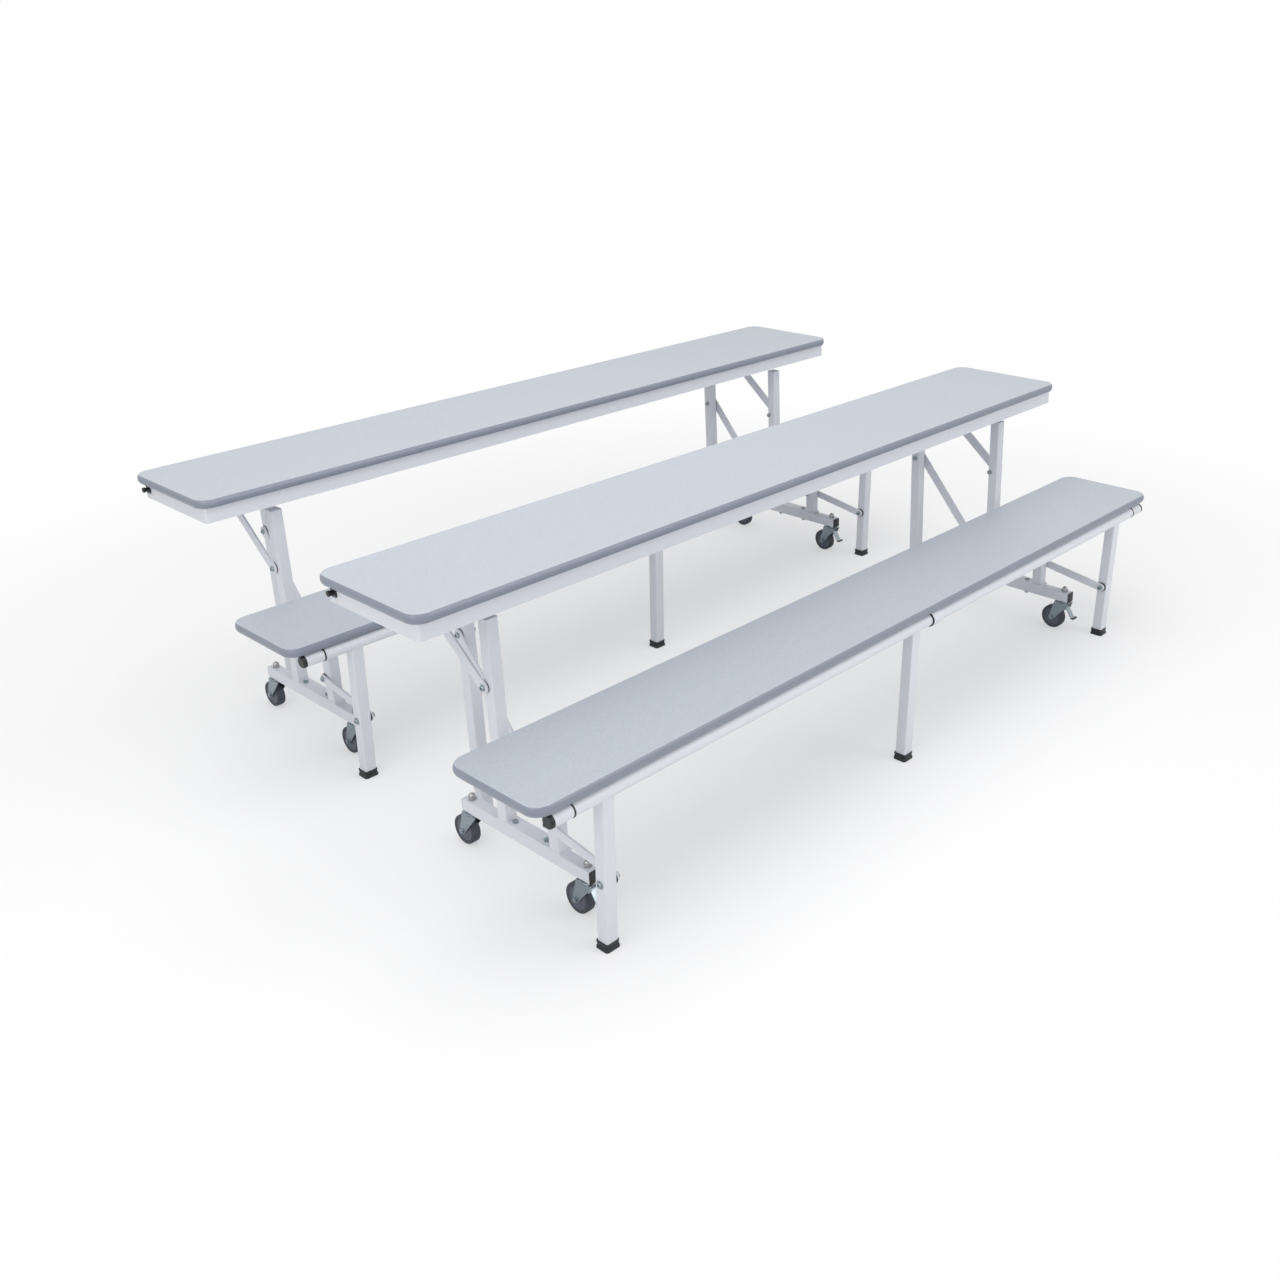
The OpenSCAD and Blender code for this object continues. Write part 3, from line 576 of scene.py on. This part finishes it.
# Feet: from sole to rim, how far out past the tube and how high. Then the round tube's plugs and rings
FOOT_OUTLINE = in_mm((3.3, 0), (4, 0.9), (4, 4.4), (3.3, 5.7), (2.2, 7.4), (2, 9), (2, 14.2), (2.7, 15.8),
                     (3, 17.2), (2.8, 19.3), (2.2, 20))
FOOT_FLOOR = 4 * MM
FIT = 0.1 * MM
END_PLUG = ((1, 0), (1, 0.62), (0.95, 0.84), (0.8, 1))
PLUG = 10 * MM
COLLAR = 47 * MM
MIDDLE_COLLAR = 65 * MM
MIDDLE_LEG = 2 * MM
RING = 4 * MM
END_RING_OUT = 1 * MM
JOURNAL_IN = 3 * MM
MIDDLE_RING_OUT = 3 * MM


class BENCH_OT_feet(bpy.types.Operator):
    """Draw the plastic feet, the tube end plugs and the collar rings"""

    bl_idname = "bench_table.feet"
    bl_label = "Draw feet and plugs"

    def execute(self, context):
        sizes = context.scene.bench_sizes
        for unit in UNITS:
            base = origin(unit)
            feet = f"{unit}_table_feet"
            low, high = box(feet)
            reach = high.x - base.x - sizes.foot_base
            shape = bmesh.new()
            for sign in (-1, 1):
                cup(shape, sizes, Vector((base.x + sign * reach, (low.y + high.y) / 2, 0)), 0)
            piece = put(f"{unit}_table_foot_cups", shape, "plastic", f"{unit}_legs")
            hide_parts(feet)

            caps = f"{unit}_seat_leg_caps"
            shaft = pivot(f"{unit}_bench_leg_swing")
            foot_y = box(caps)[1].y - sizes.foot_base
            leg_x = span(f"{unit}_seat_edge").x / 2 - sizes.bench_leg_inset
            shape = bmesh.new()
            for x in (-leg_x, MIDDLE_LEG, leg_x):
                cup(shape, sizes, Vector((base.x + x, foot_y, 0)), sizes.bench_lean)
            radius = sizes.round_tube
            for sign in (-1, 1):
                end = Vector((base.x + sign * (span(caps).x / 2 - PLUG), shaft.y, shaft.z))
                turned(shape, [(radius * across, PLUG * out) for across, out in END_PLUG],
                       along(sign * ALONG, end))
                ring = end - sign * ALONG * (COLLAR + RING)
                washer(shape, along(sign * ALONG, ring), radius + END_RING_OUT, RING - sizes.play,
                       radius - JOURNAL_IN)
            ring = Vector((base.x + MIDDLE_COLLAR - RING, shaft.y, shaft.z))
            washer(shape, along(ALONG, ring), radius + MIDDLE_RING_OUT, RING - sizes.play, radius + FIT)
            piece = put(f"{unit}_bench_foot_cups", shape, "plastic", f"{unit}_bench_legs")
            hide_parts(caps)
        return {"FINISHED"}


def cup(shape, sizes, at, lean):
    """A plastic foot: flared sole, waist and rolled rim round a square tube that may lean."""
    half = sizes.tube_width / 2
    loops = [rounded_square(half + out, sizes.tube_corner + out, height, Matrix.Translation(at))
             for out, height in FOOT_OUTLINE]
    for height in (FOOT_OUTLINE[-1][1], FOOT_FLOOR):
        place = Matrix.Translation(at - ACROSS * lean * height)
        loops.append(rounded_square(half + FIT, sizes.tube_corner + FIT, height, place))
    rings(shape, loops)


# Beam plug from stub to lip: how far its face and its corner lie inside the tube's, and its height
BEAM_PLUG = in_mm((2.1, 2, -8), (2.1, 2, 0), (0, 0, 0.02), (0, 0, 0.9), (0.5, 0.5, 1.6), (1.8, 1.8, 2))


class BENCH_OT_beam_plugs(bpy.types.Operator):
    """Draw the cushioned plugs in the ends of the caster beams"""

    bl_idname = "bench_table.beam_plugs"
    bl_label = "Draw beam plugs"

    def execute(self, context):
        sizes = context.scene.bench_sizes
        outline = [(sizes.tube_width / 2 - face, sizes.tube_corner - corner, height)
                   for face, corner, height in BEAM_PLUG]
        shape = bmesh.new()
        for unit in UNITS:
            for end in ENDS:
                stems = [pivot(f"{unit}_{end}_{side}_swivel") for side in SIDES]
                centre = (stems[0] + stems[1]) / 2
                centre.z = (BEAM_LOW + BEAM_TOP) / 2
                for sign in (-1, 1):
                    lofted(shape, outline, along(sign * ACROSS, centre + ACROSS * sign * BEAM_HALF))
        piece = put("beam_plug_caps", shape, "plastic", "frames")
        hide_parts("beam_plugs")
        return {"FINISHED"}


# Bracket bolts in from the bracket plates' ends, hinge pins, and shares for flat heads and plain washers
TABLE_BOLT_IN = 49.5 * MM
BENCH_BOLT_IN = 64 * MM
BRACKET_BOLTS = (PLATE_STOP - TABLE_BOLT_IN, PLATE_START + BENCH_BOLT_IN)
PIN_LENGTH = 50 * MM
PIN_EASE = 0.6 * MM
HEAD_BORE = 0.6
WASHER_SHARE = 1.3


class BENCH_OT_frame_bolts(bpy.types.Operator):
    """Draw the bolts through the bracket plates, the fixed pivot bolts and the seat hinge pins"""

    bl_idname = "bench_table.frame_bolts"
    bl_label = "Draw the frame's bolts"

    def execute(self, context):
        sizes = context.scene.bench_sizes
        middle_x = POST_OUT - sizes.tube_width / 2
        brackets = bmesh.new()
        pivots = bmesh.new()
        spacers = bmesh.new()
        for unit in UNITS:
            base = origin(unit)
            for sign in (-1, 1):
                for y in BRACKET_BOLTS:
                    at = base + Vector((sign * middle_x, y, 0))
                    top = at + UP * PLATE_TOP
                    under = at + UP * BEAM_LOW
                    six_sided(brackets, sizes.across_flats, sizes.head_height, along(UP, top))
                    six_sided(brackets, sizes.across_flats, sizes.nut_height, along(-UP, under))
                    shank(brackets, along(-UP, top), sizes.bracket_bolt,
                          PLATE_TOP - BEAM_LOW + sizes.nut_height + sizes.tip, sizes.tip)
                for joint in ("table_fold", "stay_swing"):
                    self.side_bolt(pivots, spacers, sizes, base.x, sign, pivot(f"{unit}_{joint}"))
                self.link_bolt(pivots, spacers, sizes, unit, sign)
            hinge = pivot(f"{unit}_seat_fold")
            for x in (-middle_x, 0, middle_x):
                at = Vector((base.x + x - PIN_LENGTH / 2, hinge.y, hinge.z))
                turned(pivots, eased(sizes.hinge_pin, PIN_LENGTH, PIN_EASE), along(ALONG, at))
        piece = put("bracket_bolt_set", brackets, "zinc", "frames")
        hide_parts("bracket_bolts")
        piece = put("pivot_bolt_set", pivots, "zinc", "frames")
        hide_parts("pivot_bolts")
        put("pivot_spacers", spacers, "plastic", "frames")
        return {"FINISHED"}

    def side_bolt(self, shape, spacers, sizes, x, sign, at):
        """A bolt through a post or upright, with its bar between a washer and a round head."""
        head = POST_OUT + sizes.spacing + sizes.bar_thickness + sizes.play
        out, back = out_and_back(x, sign, at)
        spacer(spacers, sizes, out(POST_OUT), sizes.spacing)
        through_bolt(shape, sizes, head, POST_OUT - sizes.tube_width, (out, back), sizes.tip, sizes.tip)

    def link_bolt(self, shape, spacers, sizes, unit, sign):
        """The bolt that holds a link to the lug on an upright, with its flat head beside the leg."""
        out, back = out_and_back(origin(unit).x, sign, pivot(f"{unit}_link_swing"))
        face = leg_out(unit, sizes) + sizes.spacing
        washer(shape, back(face - sizes.play), sizes.head_radius, sizes.flat_head,
               HEAD_BORE * sizes.bolt_radius)
        shank(shape, out(face - sizes.play), sizes.bolt_radius, POST_OUT - sizes.tube_width - face)
        spacer(spacers, sizes, out(face + sizes.bar_thickness + sizes.play), sizes.spacing)


def leg_out(unit, sizes):
    """Distance from a unit's middle to the outer faces of its table legs."""
    return box(f"{unit}_table_feet")[1].x - origin(unit).x - sizes.foot_base + sizes.tube_width / 2


class BENCH_OT_links(bpy.types.Operator):
    """Draw the links of the table legs and the stays of the bench, with their bolts"""

    bl_idname = "bench_table.links"
    bl_label = "Draw links and stays"

    def execute(self, context):
        sizes = context.scene.bench_sizes
        for unit in UNITS:
            self.table_links(unit, sizes)
            self.stays(unit, sizes)
        return {"FINISHED"}

    def table_links(self, unit, sizes):
        """Both links of a unit's table legs."""
        node = f"{unit}_table_leg_links"
        start = pivot(f"{unit}_link_swing")
        end = box(node)[1] - Vector((0, 1, 1)) * sizes.bar_width / 2
        face = leg_out(unit, sizes)
        near = face + sizes.spacing
        inner = face - sizes.tube_width - sizes.play
        bars, bolts, spacers = bmesh.new(), bmesh.new(), bmesh.new()
        for sign in (-1, 1):
            x = origin(unit).x
            flat_bar(bars, sizes, x + sign * near, sign, start, end, sizes.bar_width)
            out, back = out_and_back(x, sign, end)
            spacer(spacers, sizes, out(face + sizes.play), sizes.spacing)
            through_bolt(bolts, sizes, near + sizes.bar_thickness, inner, (out, back), sizes.tip, sizes.tip)
        piece = put(f"{unit}_link_bars", bars, "coat", f"{unit}_links")
        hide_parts(node)
        put(f"{unit}_link_bolt_set", bolts, "zinc", f"{unit}_links")
        put(f"{unit}_link_spacers", spacers, "plastic", f"{unit}_links")

    def stays(self, unit, sizes):
        """Both stays of a unit's bench."""
        node = f"{unit}_seat_leg_links"
        start = pivot(f"{unit}_stay_swing")
        end = box(node)[0] + Vector((0, 1, 1)) * sizes.stay_width / 2
        near = POST_OUT + sizes.spacing
        leg = span(f"{unit}_seat_edge").x / 2 - sizes.bench_leg_inset
        inner, outer = leg - sizes.tube_width / 2, leg + sizes.tube_width / 2 + sizes.play
        bars, bolts, spacers = bmesh.new(), bmesh.new(), bmesh.new()
        for sign in (-1, 1):
            x = origin(unit).x
            flat_bar(bars, sizes, x + sign * near, sign, start, end, sizes.stay_width)
            out, back = out_and_back(x, sign, end)
            beside = near + sizes.bar_thickness
            spacer(spacers, sizes, out(beside), inner - beside)
            washer(bolts, out(outer), WASHER_SHARE * sizes.head_radius, sizes.flat_head, sizes.bolt_radius)
            through_bolt(bolts, sizes, outer, near, (out, back), 0, sizes.nut_height)
        piece = put(f"{unit}_stay_bars", bars, "coat", f"{unit}_stays")
        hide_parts(node)
        put(f"{unit}_stay_bolt_set", bolts, "zinc", f"{unit}_stays")
        put(f"{unit}_stay_spacers", spacers, "plastic", f"{unit}_stays")


# Stems: dome nut, ball race and king bolt head, as radius and height down from where each is seated
DOME_FLATS = 17.2 * MM
DOME_BASE = 9 * MM
DOME_RADIUS = 8.6 * MM
DOME_SEAT = 8.9 * MM
DOME_STEPS = 12
RACE = in_mm((18, 0), (21.2, 0.2), (22, 1.1), (22, 2.1), (21.2, 3))
KING_HEAD = in_mm((8.2, 0), (8.5, 0.5), (8.5, 3.2), (6.4, 4.8))
KING_DROP = 6.6 * MM
STEM_RADIUS = 6 * MM
STEM_OVER = 4 * MM


class BENCH_OT_stems(bpy.types.Operator):
    """Draw the casters' stems with their dome nuts, and the ball races under the beams"""

    bl_idname = "bench_table.stems"
    bl_label = "Draw caster stems"

    def execute(self, context):
        dome = []
        for i in range(DOME_STEPS):
            turn = pi / 2 * i / DOME_STEPS
            dome.append((DOME_RADIUS * cos(turn), DOME_SEAT + DOME_RADIUS * sin(turn)))
        nuts = bmesh.new()
        races = bmesh.new()
        for corner in CORNERS:
            at = pivot(corner + "_swivel")
            top = Vector((at.x, at.y, BEAM_TOP))
            six_sided(nuts, DOME_FLATS, DOME_BASE, along(UP, top))
            turned(nuts, dome, along(UP, top))
            under = Vector((at.x, at.y, BEAM_LOW))
            turned(races, RACE, along(-UP, under))
            king = under - UP * KING_DROP
            turned(races, KING_HEAD, along(-UP, king))
            shank(races, along(UP, king), STEM_RADIUS, BEAM_TOP - king.z + STEM_OVER)
        piece = put("stem_dome_nuts", nuts, "chrome", "frames")
        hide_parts("stem_nuts")
        put("stem_races", races, "zinc", "frames")
        return {"FINISHED"}


# Half outlines of tyre and wheel centre, as radius and half width
HALF_TYRE = in_mm((27.4, 10.2), (29.6, 11.6), (31.5, 12), (34.2, 12), (36, 11.5), (37.1, 10.3), (37.5, 8.6))
HALF_HUB = in_mm((8.4, 13), (9, 12.6), (9.5, 10.8), (11, 10), (24.6, 9.2), (26.2, 10.4), (27.5, 10.4))
AXLE_BORE = 4.1 * MM


class BENCH_OT_wheels(bpy.types.Operator):
    """Draw the caster wheels as a tyre on a moulded centre"""

    bl_idname = "bench_table.wheels"
    bl_label = "Draw wheels"

    def execute(self, context):
        for corner in CORNERS:
            place = along(ALONG, pivot(corner + "_roll"))
            tyre = bmesh.new()
            turned(tyre, mirrored(HALF_TYRE), place, bore=HALF_TYRE[0][0])
            piece = put(corner + "_tyre", tyre, "tread", corner + "_roller")
            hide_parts(corner + "_wheel")
            hub = bmesh.new()
            turned(hub, mirrored(HALF_HUB), place, bore=AXLE_BORE)
            put(corner + "_hub", hub, "hub", corner + "_roller")
        return {"FINISHED"}


# Brakes: the lever from its pin to a bend and its tip, the rolled ears, and the grip's outline in shares
LEVER_BACK = 18.5 * MM
LEVER_DOWN = 29 * MM
LEVER_BEND = Vector((-3.5, -2.2)) * MM
LEVER_TIP = Vector((3, 1.8)) * MM
LEVER_SHEET = 2.2 * MM
LEVER_HALF = 10 * MM
LEVER_PIN = 2.5 * MM
PIN_RIM = (0.5 * MM, 0.4 * MM)
EAR_AT = 7 * MM
EAR_LENGTH = 6 * MM
EAR_RADIUS = 4.4 * MM
EAR_BORE = 2.4 * MM
GRIP_HALF = Vector((12.4, 6.2)) * MM
GRIP_HEIGHT = 3.5 * MM
GRIP_EASE = 0.6 * MM
GRIP_OUTLINE = ((1, 0.7), (0.85, 1), (-0.85, 1), (-1, 0.7), (-1, -0.7), (-0.85, -1), (0.85, -1), (1, -0.7))


class BENCH_OT_brakes(bpy.types.Operator):
    """Draw the brake levers as pressed strips on a pin, with a moulded grip on each"""

    bl_idname = "bench_table.brakes"
    bl_label = "Draw brakes"

    def execute(self, context):
        for corner in CORNERS:
            if corner.endswith("bench"):
                self.lever(corner)
                self.grip(corner)
        return {"FINISHED"}

    def lever(self, corner):
        """The pressed lever with its pin and its two rolled ears."""
        node = corner + "_brake"
        low, high = box(node)
        pin = pivot(node)
        bend = Vector((pin.y - LEVER_BACK, pin.z - LEVER_DOWN))
        shape = bmesh.new()
        path = [pin.yz, bend, bend + LEVER_BEND, low.yz + LEVER_TIP]
        strip(shape, path, LEVER_SHEET, pin.x - LEVER_HALF, pin.x + LEVER_HALF)
        turned(shape, eased(LEVER_PIN, high.x - low.x, *PIN_RIM),
               along(ALONG, Vector((low.x, pin.y, pin.z))))
        for sign in (-1, 1):
            side = along(sign * ALONG, pin + sign * ALONG * EAR_AT)
            washer(shape, side, EAR_RADIUS, EAR_LENGTH, EAR_BORE)
        piece = put(corner + "_lever", shape, "zinc", corner + "_pedal")
        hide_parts(node)

    def grip(self, corner):
        """The moulded grip on the lever's end."""
        node = corner + "_brake"
        low = box(node)[0]
        middle = Vector((pivot(node).x, low.y + GRIP_HALF.y, low.z))
        shape = bmesh.new()
        rings(shape, [[middle + Vector((x * (GRIP_HALF.x + out), y * (GRIP_HALF.y + out), height))
                       for x, y in GRIP_OUTLINE] for out, height in eased(0, GRIP_HEIGHT, GRIP_EASE)])
        put(corner + "_grip", shape, "plastic", corner + "_pedal")


def strip(shape, path, thickness, start, stop):
    """A bent strip of sheet: a path of y and z points given a thickness, from x start to stop."""
    above, below = [], []
    for i, point in enumerate(path):
        ahead = (path[min(i + 1, len(path) - 1)] - path[max(i - 1, 0)]).normalized()
        side = Vector((-ahead.y, ahead.x)) * thickness / 2
        above.append(point + side)
        below.append(point - side)
    outline = above + below[::-1]
    rings(shape, [[Vector((x, point.x, point.y)) for point in outline] for x in (start, stop)])


def mirrored(half):
    """A half profile with its mirror image."""
    return [(radius, -height) for radius, height in half] + list(reversed(half))


# Latch knob from neck to rim, as its radius and a share of its length, and the plate's two screws
KNOB_LENGTH = 13 * MM
KNOB = ((5, 0), (4.8, 0.3), (6.2, 0.45), (7, 0.58), (7, 0.86), (6.5, 0.96), (5.4, 1))
FLUTES = 12
FLUTE_DEPTH = 0.06
LATCH_PIN = 3 * MM
PLATE_SCREW_AT = Vector((0, 7.4, 8.2)) * MM
PLATE_SCREW = 1.8 * MM


class BENCH_OT_latches(bpy.types.Operator):
    """Draw the fluted latch knobs with their pins, and the screws of their plates"""

    bl_idname = "bench_table.latches"
    bl_label = "Draw latches"

    def execute(self, context):
        for unit in UNITS:
            node = f"{unit}_latch_knob"
            low, high = box(node)
            at = Vector((low.x + KNOB_LENGTH, (low.y + high.y) / 2, (low.z + high.z) / 2))
            shape = bmesh.new()
            turned(shape, [(radius * MM, KNOB_LENGTH * out) for radius, out in KNOB], along(-ALONG, at),
                   flutes=FLUTES, depth=FLUTE_DEPTH)
            shank(shape, along(ALONG, at), LATCH_PIN, high.x - at.x)
            piece = put(f"{unit}_latch_grip", shape, "plastic", f"{unit}_latch")
            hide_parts(node)
            shape = bmesh.new()
            middle = Vector((box(f"{unit}_latch_base")[0].x, at.y, at.z))
            for sign in (-1, 1):
                pan_head(shape, along(-ALONG, middle + sign * PLATE_SCREW_AT), PLATE_SCREW)
            put(f"{unit}_latch_screws", shape, "zinc", f"{unit}_top")
        return {"FINISHED"}


# Screws: two rows along the apron's flange, and four in each hinge leaf
APRON_SHEET = 1.5 * MM
APRON_ROW_IN = 9 * MM
APRON_SCREWS = [x * MM for x in (-1150, -700, -250, 250, 700, 1150)]
LEAF = 2.5 * MM
LEAF_ACROSS = 17 * MM
LEAF_BACK = (24 * MM, 46 * MM)


class BENCH_OT_screws(bpy.types.Operator):
    """Draw the screws that hold the aprons and the seat hinges to the boards"""

    bl_idname = "bench_table.screws"
    bl_label = "Draw board screws"

    def execute(self, context):
        sizes = context.scene.bench_sizes
        middle_x = POST_OUT - sizes.tube_width / 2
        for unit in UNITS:
            base = origin(unit)
            low, high = box(f"{unit}_table_apron")
            level = high.z - APRON_SHEET
            shape = bmesh.new()
            for x in APRON_SCREWS:
                for y in (low.y + APRON_ROW_IN, high.y - APRON_ROW_IN):
                    pan_head(shape, along(-UP, Vector((base.x + x, y, level))), sizes.screw_head)
            put(f"{unit}_apron_screws", shape, "zinc", f"{unit}_top")
            level = box(f"{unit}_seat_board")[0].z - LEAF
            hinge = pivot(f"{unit}_seat_fold")
            shape = bmesh.new()
            for x in (-middle_x, 0, middle_x):
                for across in (-LEAF_ACROSS, LEAF_ACROSS):
                    for back in LEAF_BACK:
                        spot = Vector((base.x + x + across, hinge.y - back, level))
                        pan_head(shape, along(-UP, spot), sizes.screw_head)
            put(f"{unit}_hinge_screws", shape, "zinc", f"{unit}_seat")
        return {"FINISHED"}


# Welds: the tubes' place in from the plates' rims, how far beads lie off the faces, and their steps
PLATE_RIM = 5 * MM
OFF_TUBE = 0.2 * MM
OVER_PLATE = 0.4 * MM
OFF_PLATE = 0.3 * MM
UNDER_BEAM_TOP = 0.5 * MM
BEAD_STEP = 3 * MM
LUG_BEAD = 11.4 * MM
LUG_POINTS = 30
RUN_IN = 4 * MM
RUN_STEP = 4 * MM


class BENCH_OT_welds(bpy.types.Operator):
    """Draw the weld beads of the uprights, posts, lugs and bracket plates"""

    bl_idname = "bench_table.welds"
    bl_label = "Draw welds"

    def execute(self, context):
        sizes = context.scene.bench_sizes
        middle_x = POST_OUT - sizes.tube_width / 2
        half = sizes.tube_width / 2
        inner = POST_OUT - sizes.tube_width
        standing = (PLATE_STOP - PLATE_RIM - half, PLATE_START + PLATE_RIM + half)
        points = int((PLATE_STOP - PLATE_START - RUN_IN) / RUN_STEP)
        shape = bmesh.new()
        for unit in UNITS:
            base = origin(unit)
            lug = pivot(f"{unit}_link_swing")
            for sign in (-1, 1):
                for y in standing:
                    at = base + Vector((sign * middle_x, y, PLATE_TOP + OVER_PLATE))
                    path = square_path(at, half + OFF_TUBE, sizes.tube_corner, BEAD_STEP)
                    bead(shape, path, sizes.weld_radius)
                ring = [Vector((base.x + sign * (inner - OFF_TUBE), lug.y + LUG_BEAD * y,
                                lug.z + LUG_BEAD * z)) for y, z in circle(LUG_POINTS)]
                bead(shape, ring, sizes.weld_radius)
                run = [base + Vector((sign * (inner - OFF_PLATE), PLATE_START + RUN_IN + i * RUN_STEP,
                                      BEAM_TOP - UNDER_BEAM_TOP)) for i in range(points)]
                bead(shape, run, sizes.weld_radius, closed=False)
        put("frame_welds", shape, "coat", "frames")
        return {"FINISHED"}


def square_path(at, half, corner, step):
    """Points round a square tube, about step apart."""
    loop = rounded_square(half, corner, 0, Matrix.Translation(at), steps=3)
    path = []
    for i, point in enumerate(loop):
        ahead = loop[(i + 1) % len(loop)]
        count = max(1, round((ahead - point).length / step))
        path += [point.lerp(ahead, k / count) for k in range(count)]
    return path


# Stage: the floor and where it fades to white, the sky's soft light, and lamps as place, aim, width, power
FLOOR_REACH = 14
FLOOR_DROP = 0.2 * MM
FADE = {"From Min": 1.2, "From Max": 3.4, "To Min": 0.45, "To Max": 1.0}
SKY_LEVEL = 0.56
LAMPS = {
    "softbox_over": ((-0.6, -0.3, 3.6), (0, 0, 0), 4.2, 80),
    "softbox_side": ((-4.2, -1.2, 2.2), (0, 0, 0.4), 2.4, 30),
    "softbox_front": ((1.6, -4.6, 2.4), (0, 0, 0.4), 2.6, 44),
}
SENSOR = 36
FAR_CLIP = 60


class BENCH_OT_stage(bpy.types.Operator):
    """Set up the floor, the soft lights and the camera"""

    bl_idname = "bench_table.stage"
    bl_label = "Set the stage"

    def execute(self, context):
        self.floor(context.scene)
        self.sky(context.scene)
        self.lamps(context.scene)
        self.camera(context.scene)
        context.scene.view_settings.view_transform = "Standard"
        return {"FINISHED"}

    def floor(self, scene):
        """A matt floor that turns white away from the tables, so that its edge can't be seen."""
        made, tree = new_material("studio_floor")
        rays = add_node(tree, "ShaderNodeLightPath")
        place = add_node(tree, "ShaderNodeTexCoord")
        away = add_node(tree, "ShaderNodeVectorMath", {"operation": "LENGTH"}, {0: place.outputs["Object"]})
        fade = add_node(tree, "ShaderNodeMapRange",
                        {"interpolation_type": "SMOOTHSTEP", **FADE}, {"Value": away.outputs["Value"]})
        matt = add_node(tree, "ShaderNodeBsdfDiffuse", {"Color": linear(scene.bench_looks.floor_colour)})
        lift = add_node(tree, "ShaderNodeEmission", {"Color": (1, 1, 1, 1), "Strength": 1.0})
        share = add_node(tree, "ShaderNodeMath", {"operation": "MULTIPLY"},
                         {0: rays.outputs["Is Camera Ray"], 1: fade.outputs[0]})
        mixed = add_node(tree, "ShaderNodeMixShader", links={
            "Fac": share.outputs[0], 1: matt.outputs[0], 2: lift.outputs[0]})
        close(made, mixed)
        mesh = bpy.data.meshes.new("studio_floor")
        corners = [(x * FLOOR_REACH, y * FLOOR_REACH, 0) for x, y in ((-1, -1), (1, -1), (1, 1), (-1, 1))]
        mesh.from_pydata(corners, [], [(0, 1, 2, 3)])
        mesh.materials.append(made)
        floor = bpy.data.objects.new("studio_floor", mesh)
        floor.location.z = -FLOOR_DROP
        scene.collection.objects.link(floor)

    def sky(self, scene):
        """A white sky, dimmer for soft light than for what is seen or mirrored."""
        world = bpy.data.worlds.new("studio")
        world.use_nodes = True
        tree = world.node_tree
        tree.nodes.clear()
        rays = add_node(tree, "ShaderNodeLightPath")
        seen = add_node(tree, "ShaderNodeMath", {"operation": "MAXIMUM"},
                        {0: rays.outputs["Is Camera Ray"], 1: rays.outputs["Is Glossy Ray"]})
        shown = add_node(tree, "ShaderNodeMath", {"operation": "MAXIMUM"},
                         {0: seen.outputs[0], 1: rays.outputs["Is Transmission Ray"]})
        level = add_node(tree, "ShaderNodeMapRange", {"To Min": SKY_LEVEL, "To Max": 1.0},
                         {"Value": shown.outputs[0]})
        sky = add_node(tree, "ShaderNodeBackground", {"Color": (1, 1, 1, 1)},
                       {"Strength": level.outputs[0]})
        add_node(tree, "ShaderNodeOutputWorld", links={"Surface": sky.outputs[0]})
        scene.world = world

    def lamps(self, scene):
        """The soft boxes, each turned to its aim."""
        for name, (at, aim, size, power) in LAMPS.items():
            lamp = bpy.data.lights.new(name, "AREA")
            lamp.shape = "SQUARE"
            lamp.size = size
            lamp.energy = power
            held = bpy.data.objects.new(name, lamp)
            held.location = at
            held.rotation_euler = (Vector(aim) - Vector(at)).to_track_quat("-Z", "Y").to_euler()
            scene.collection.objects.link(held)

    def camera(self, scene):
        """The photograph's camera, from its place, directions, lens and shift."""
        view = scene.bench_camera
        lens = bpy.data.cameras.new("photo_camera")
        lens.sensor_fit = "HORIZONTAL"
        lens.sensor_width = SENSOR
        lens.lens = view.focal_share * SENSOR
        lens.shift_x = view.shift_across
        lens.shift_y = view.shift_up
        lens.clip_end = FAR_CLIP
        camera = bpy.data.objects.new("photo_camera", lens)
        ahead = Vector((cos(view.heading) * cos(view.dip),
                        sin(view.heading) * cos(view.dip), -sin(view.dip)))
        level_right = ahead.cross(UP).normalized()
        level_up = level_right.cross(ahead)
        right = cos(view.roll) * level_right + sin(view.roll) * level_up
        up = cos(view.roll) * level_up - sin(view.roll) * level_right
        turn = Matrix((right, up, -ahead)).transposed().to_4x4()
        camera.matrix_world = Matrix.Translation(view.place) @ turn
        scene.collection.objects.link(camera)
        scene.camera = camera


class BENCH_PT_panel(bpy.types.Panel):
    """Buttons and sizes for the bench tables"""

    bl_idname = "BENCH_PT_panel"
    bl_label = "Bench Tables"
    bl_space_type = "VIEW_3D"
    bl_region_type = "UI"
    bl_category = "Bench Tables"

    def draw(self, context):
        for step in STEPS:
            self.layout.operator("bench_table." + step)
        for group, settings in GROUPS.items():
            column = self.layout.box()
            for name in settings.__annotations__:
                column.prop(getattr(context.scene, group), name)


OPERATORS = (BENCH_OT_stage, BENCH_OT_finishes, BENCH_OT_feet, BENCH_OT_beam_plugs, BENCH_OT_frame_bolts,
             BENCH_OT_links, BENCH_OT_stems, BENCH_OT_wheels, BENCH_OT_brakes, BENCH_OT_latches,
             BENCH_OT_screws, BENCH_OT_welds)
STEPS = [made.bl_idname.split(".")[1] for made in OPERATORS]
GROUPS = {"bench_sizes": BenchSizes, "bench_looks": BenchLooks, "bench_camera": BenchCamera}
CLASSES = (*GROUPS.values(), *OPERATORS, BENCH_PT_panel)


def register():
    """Registers the classes and their settings."""
    for made in CLASSES:
        bpy.utils.register_class(made)
    for name, group in GROUPS.items():
        setattr(bpy.types.Scene, name, PointerProperty(type=group))


def unregister():
    """Takes the classes and their settings away again."""
    for name in GROUPS:
        delattr(bpy.types.Scene, name)
    for made in reversed(CLASSES):
        bpy.utils.unregister_class(made)


def main():
    """Builds everything in order."""
    register()
    for step in STEPS:
        getattr(bpy.ops.bench_table, step)()


if __name__ == "__main__":
    main()
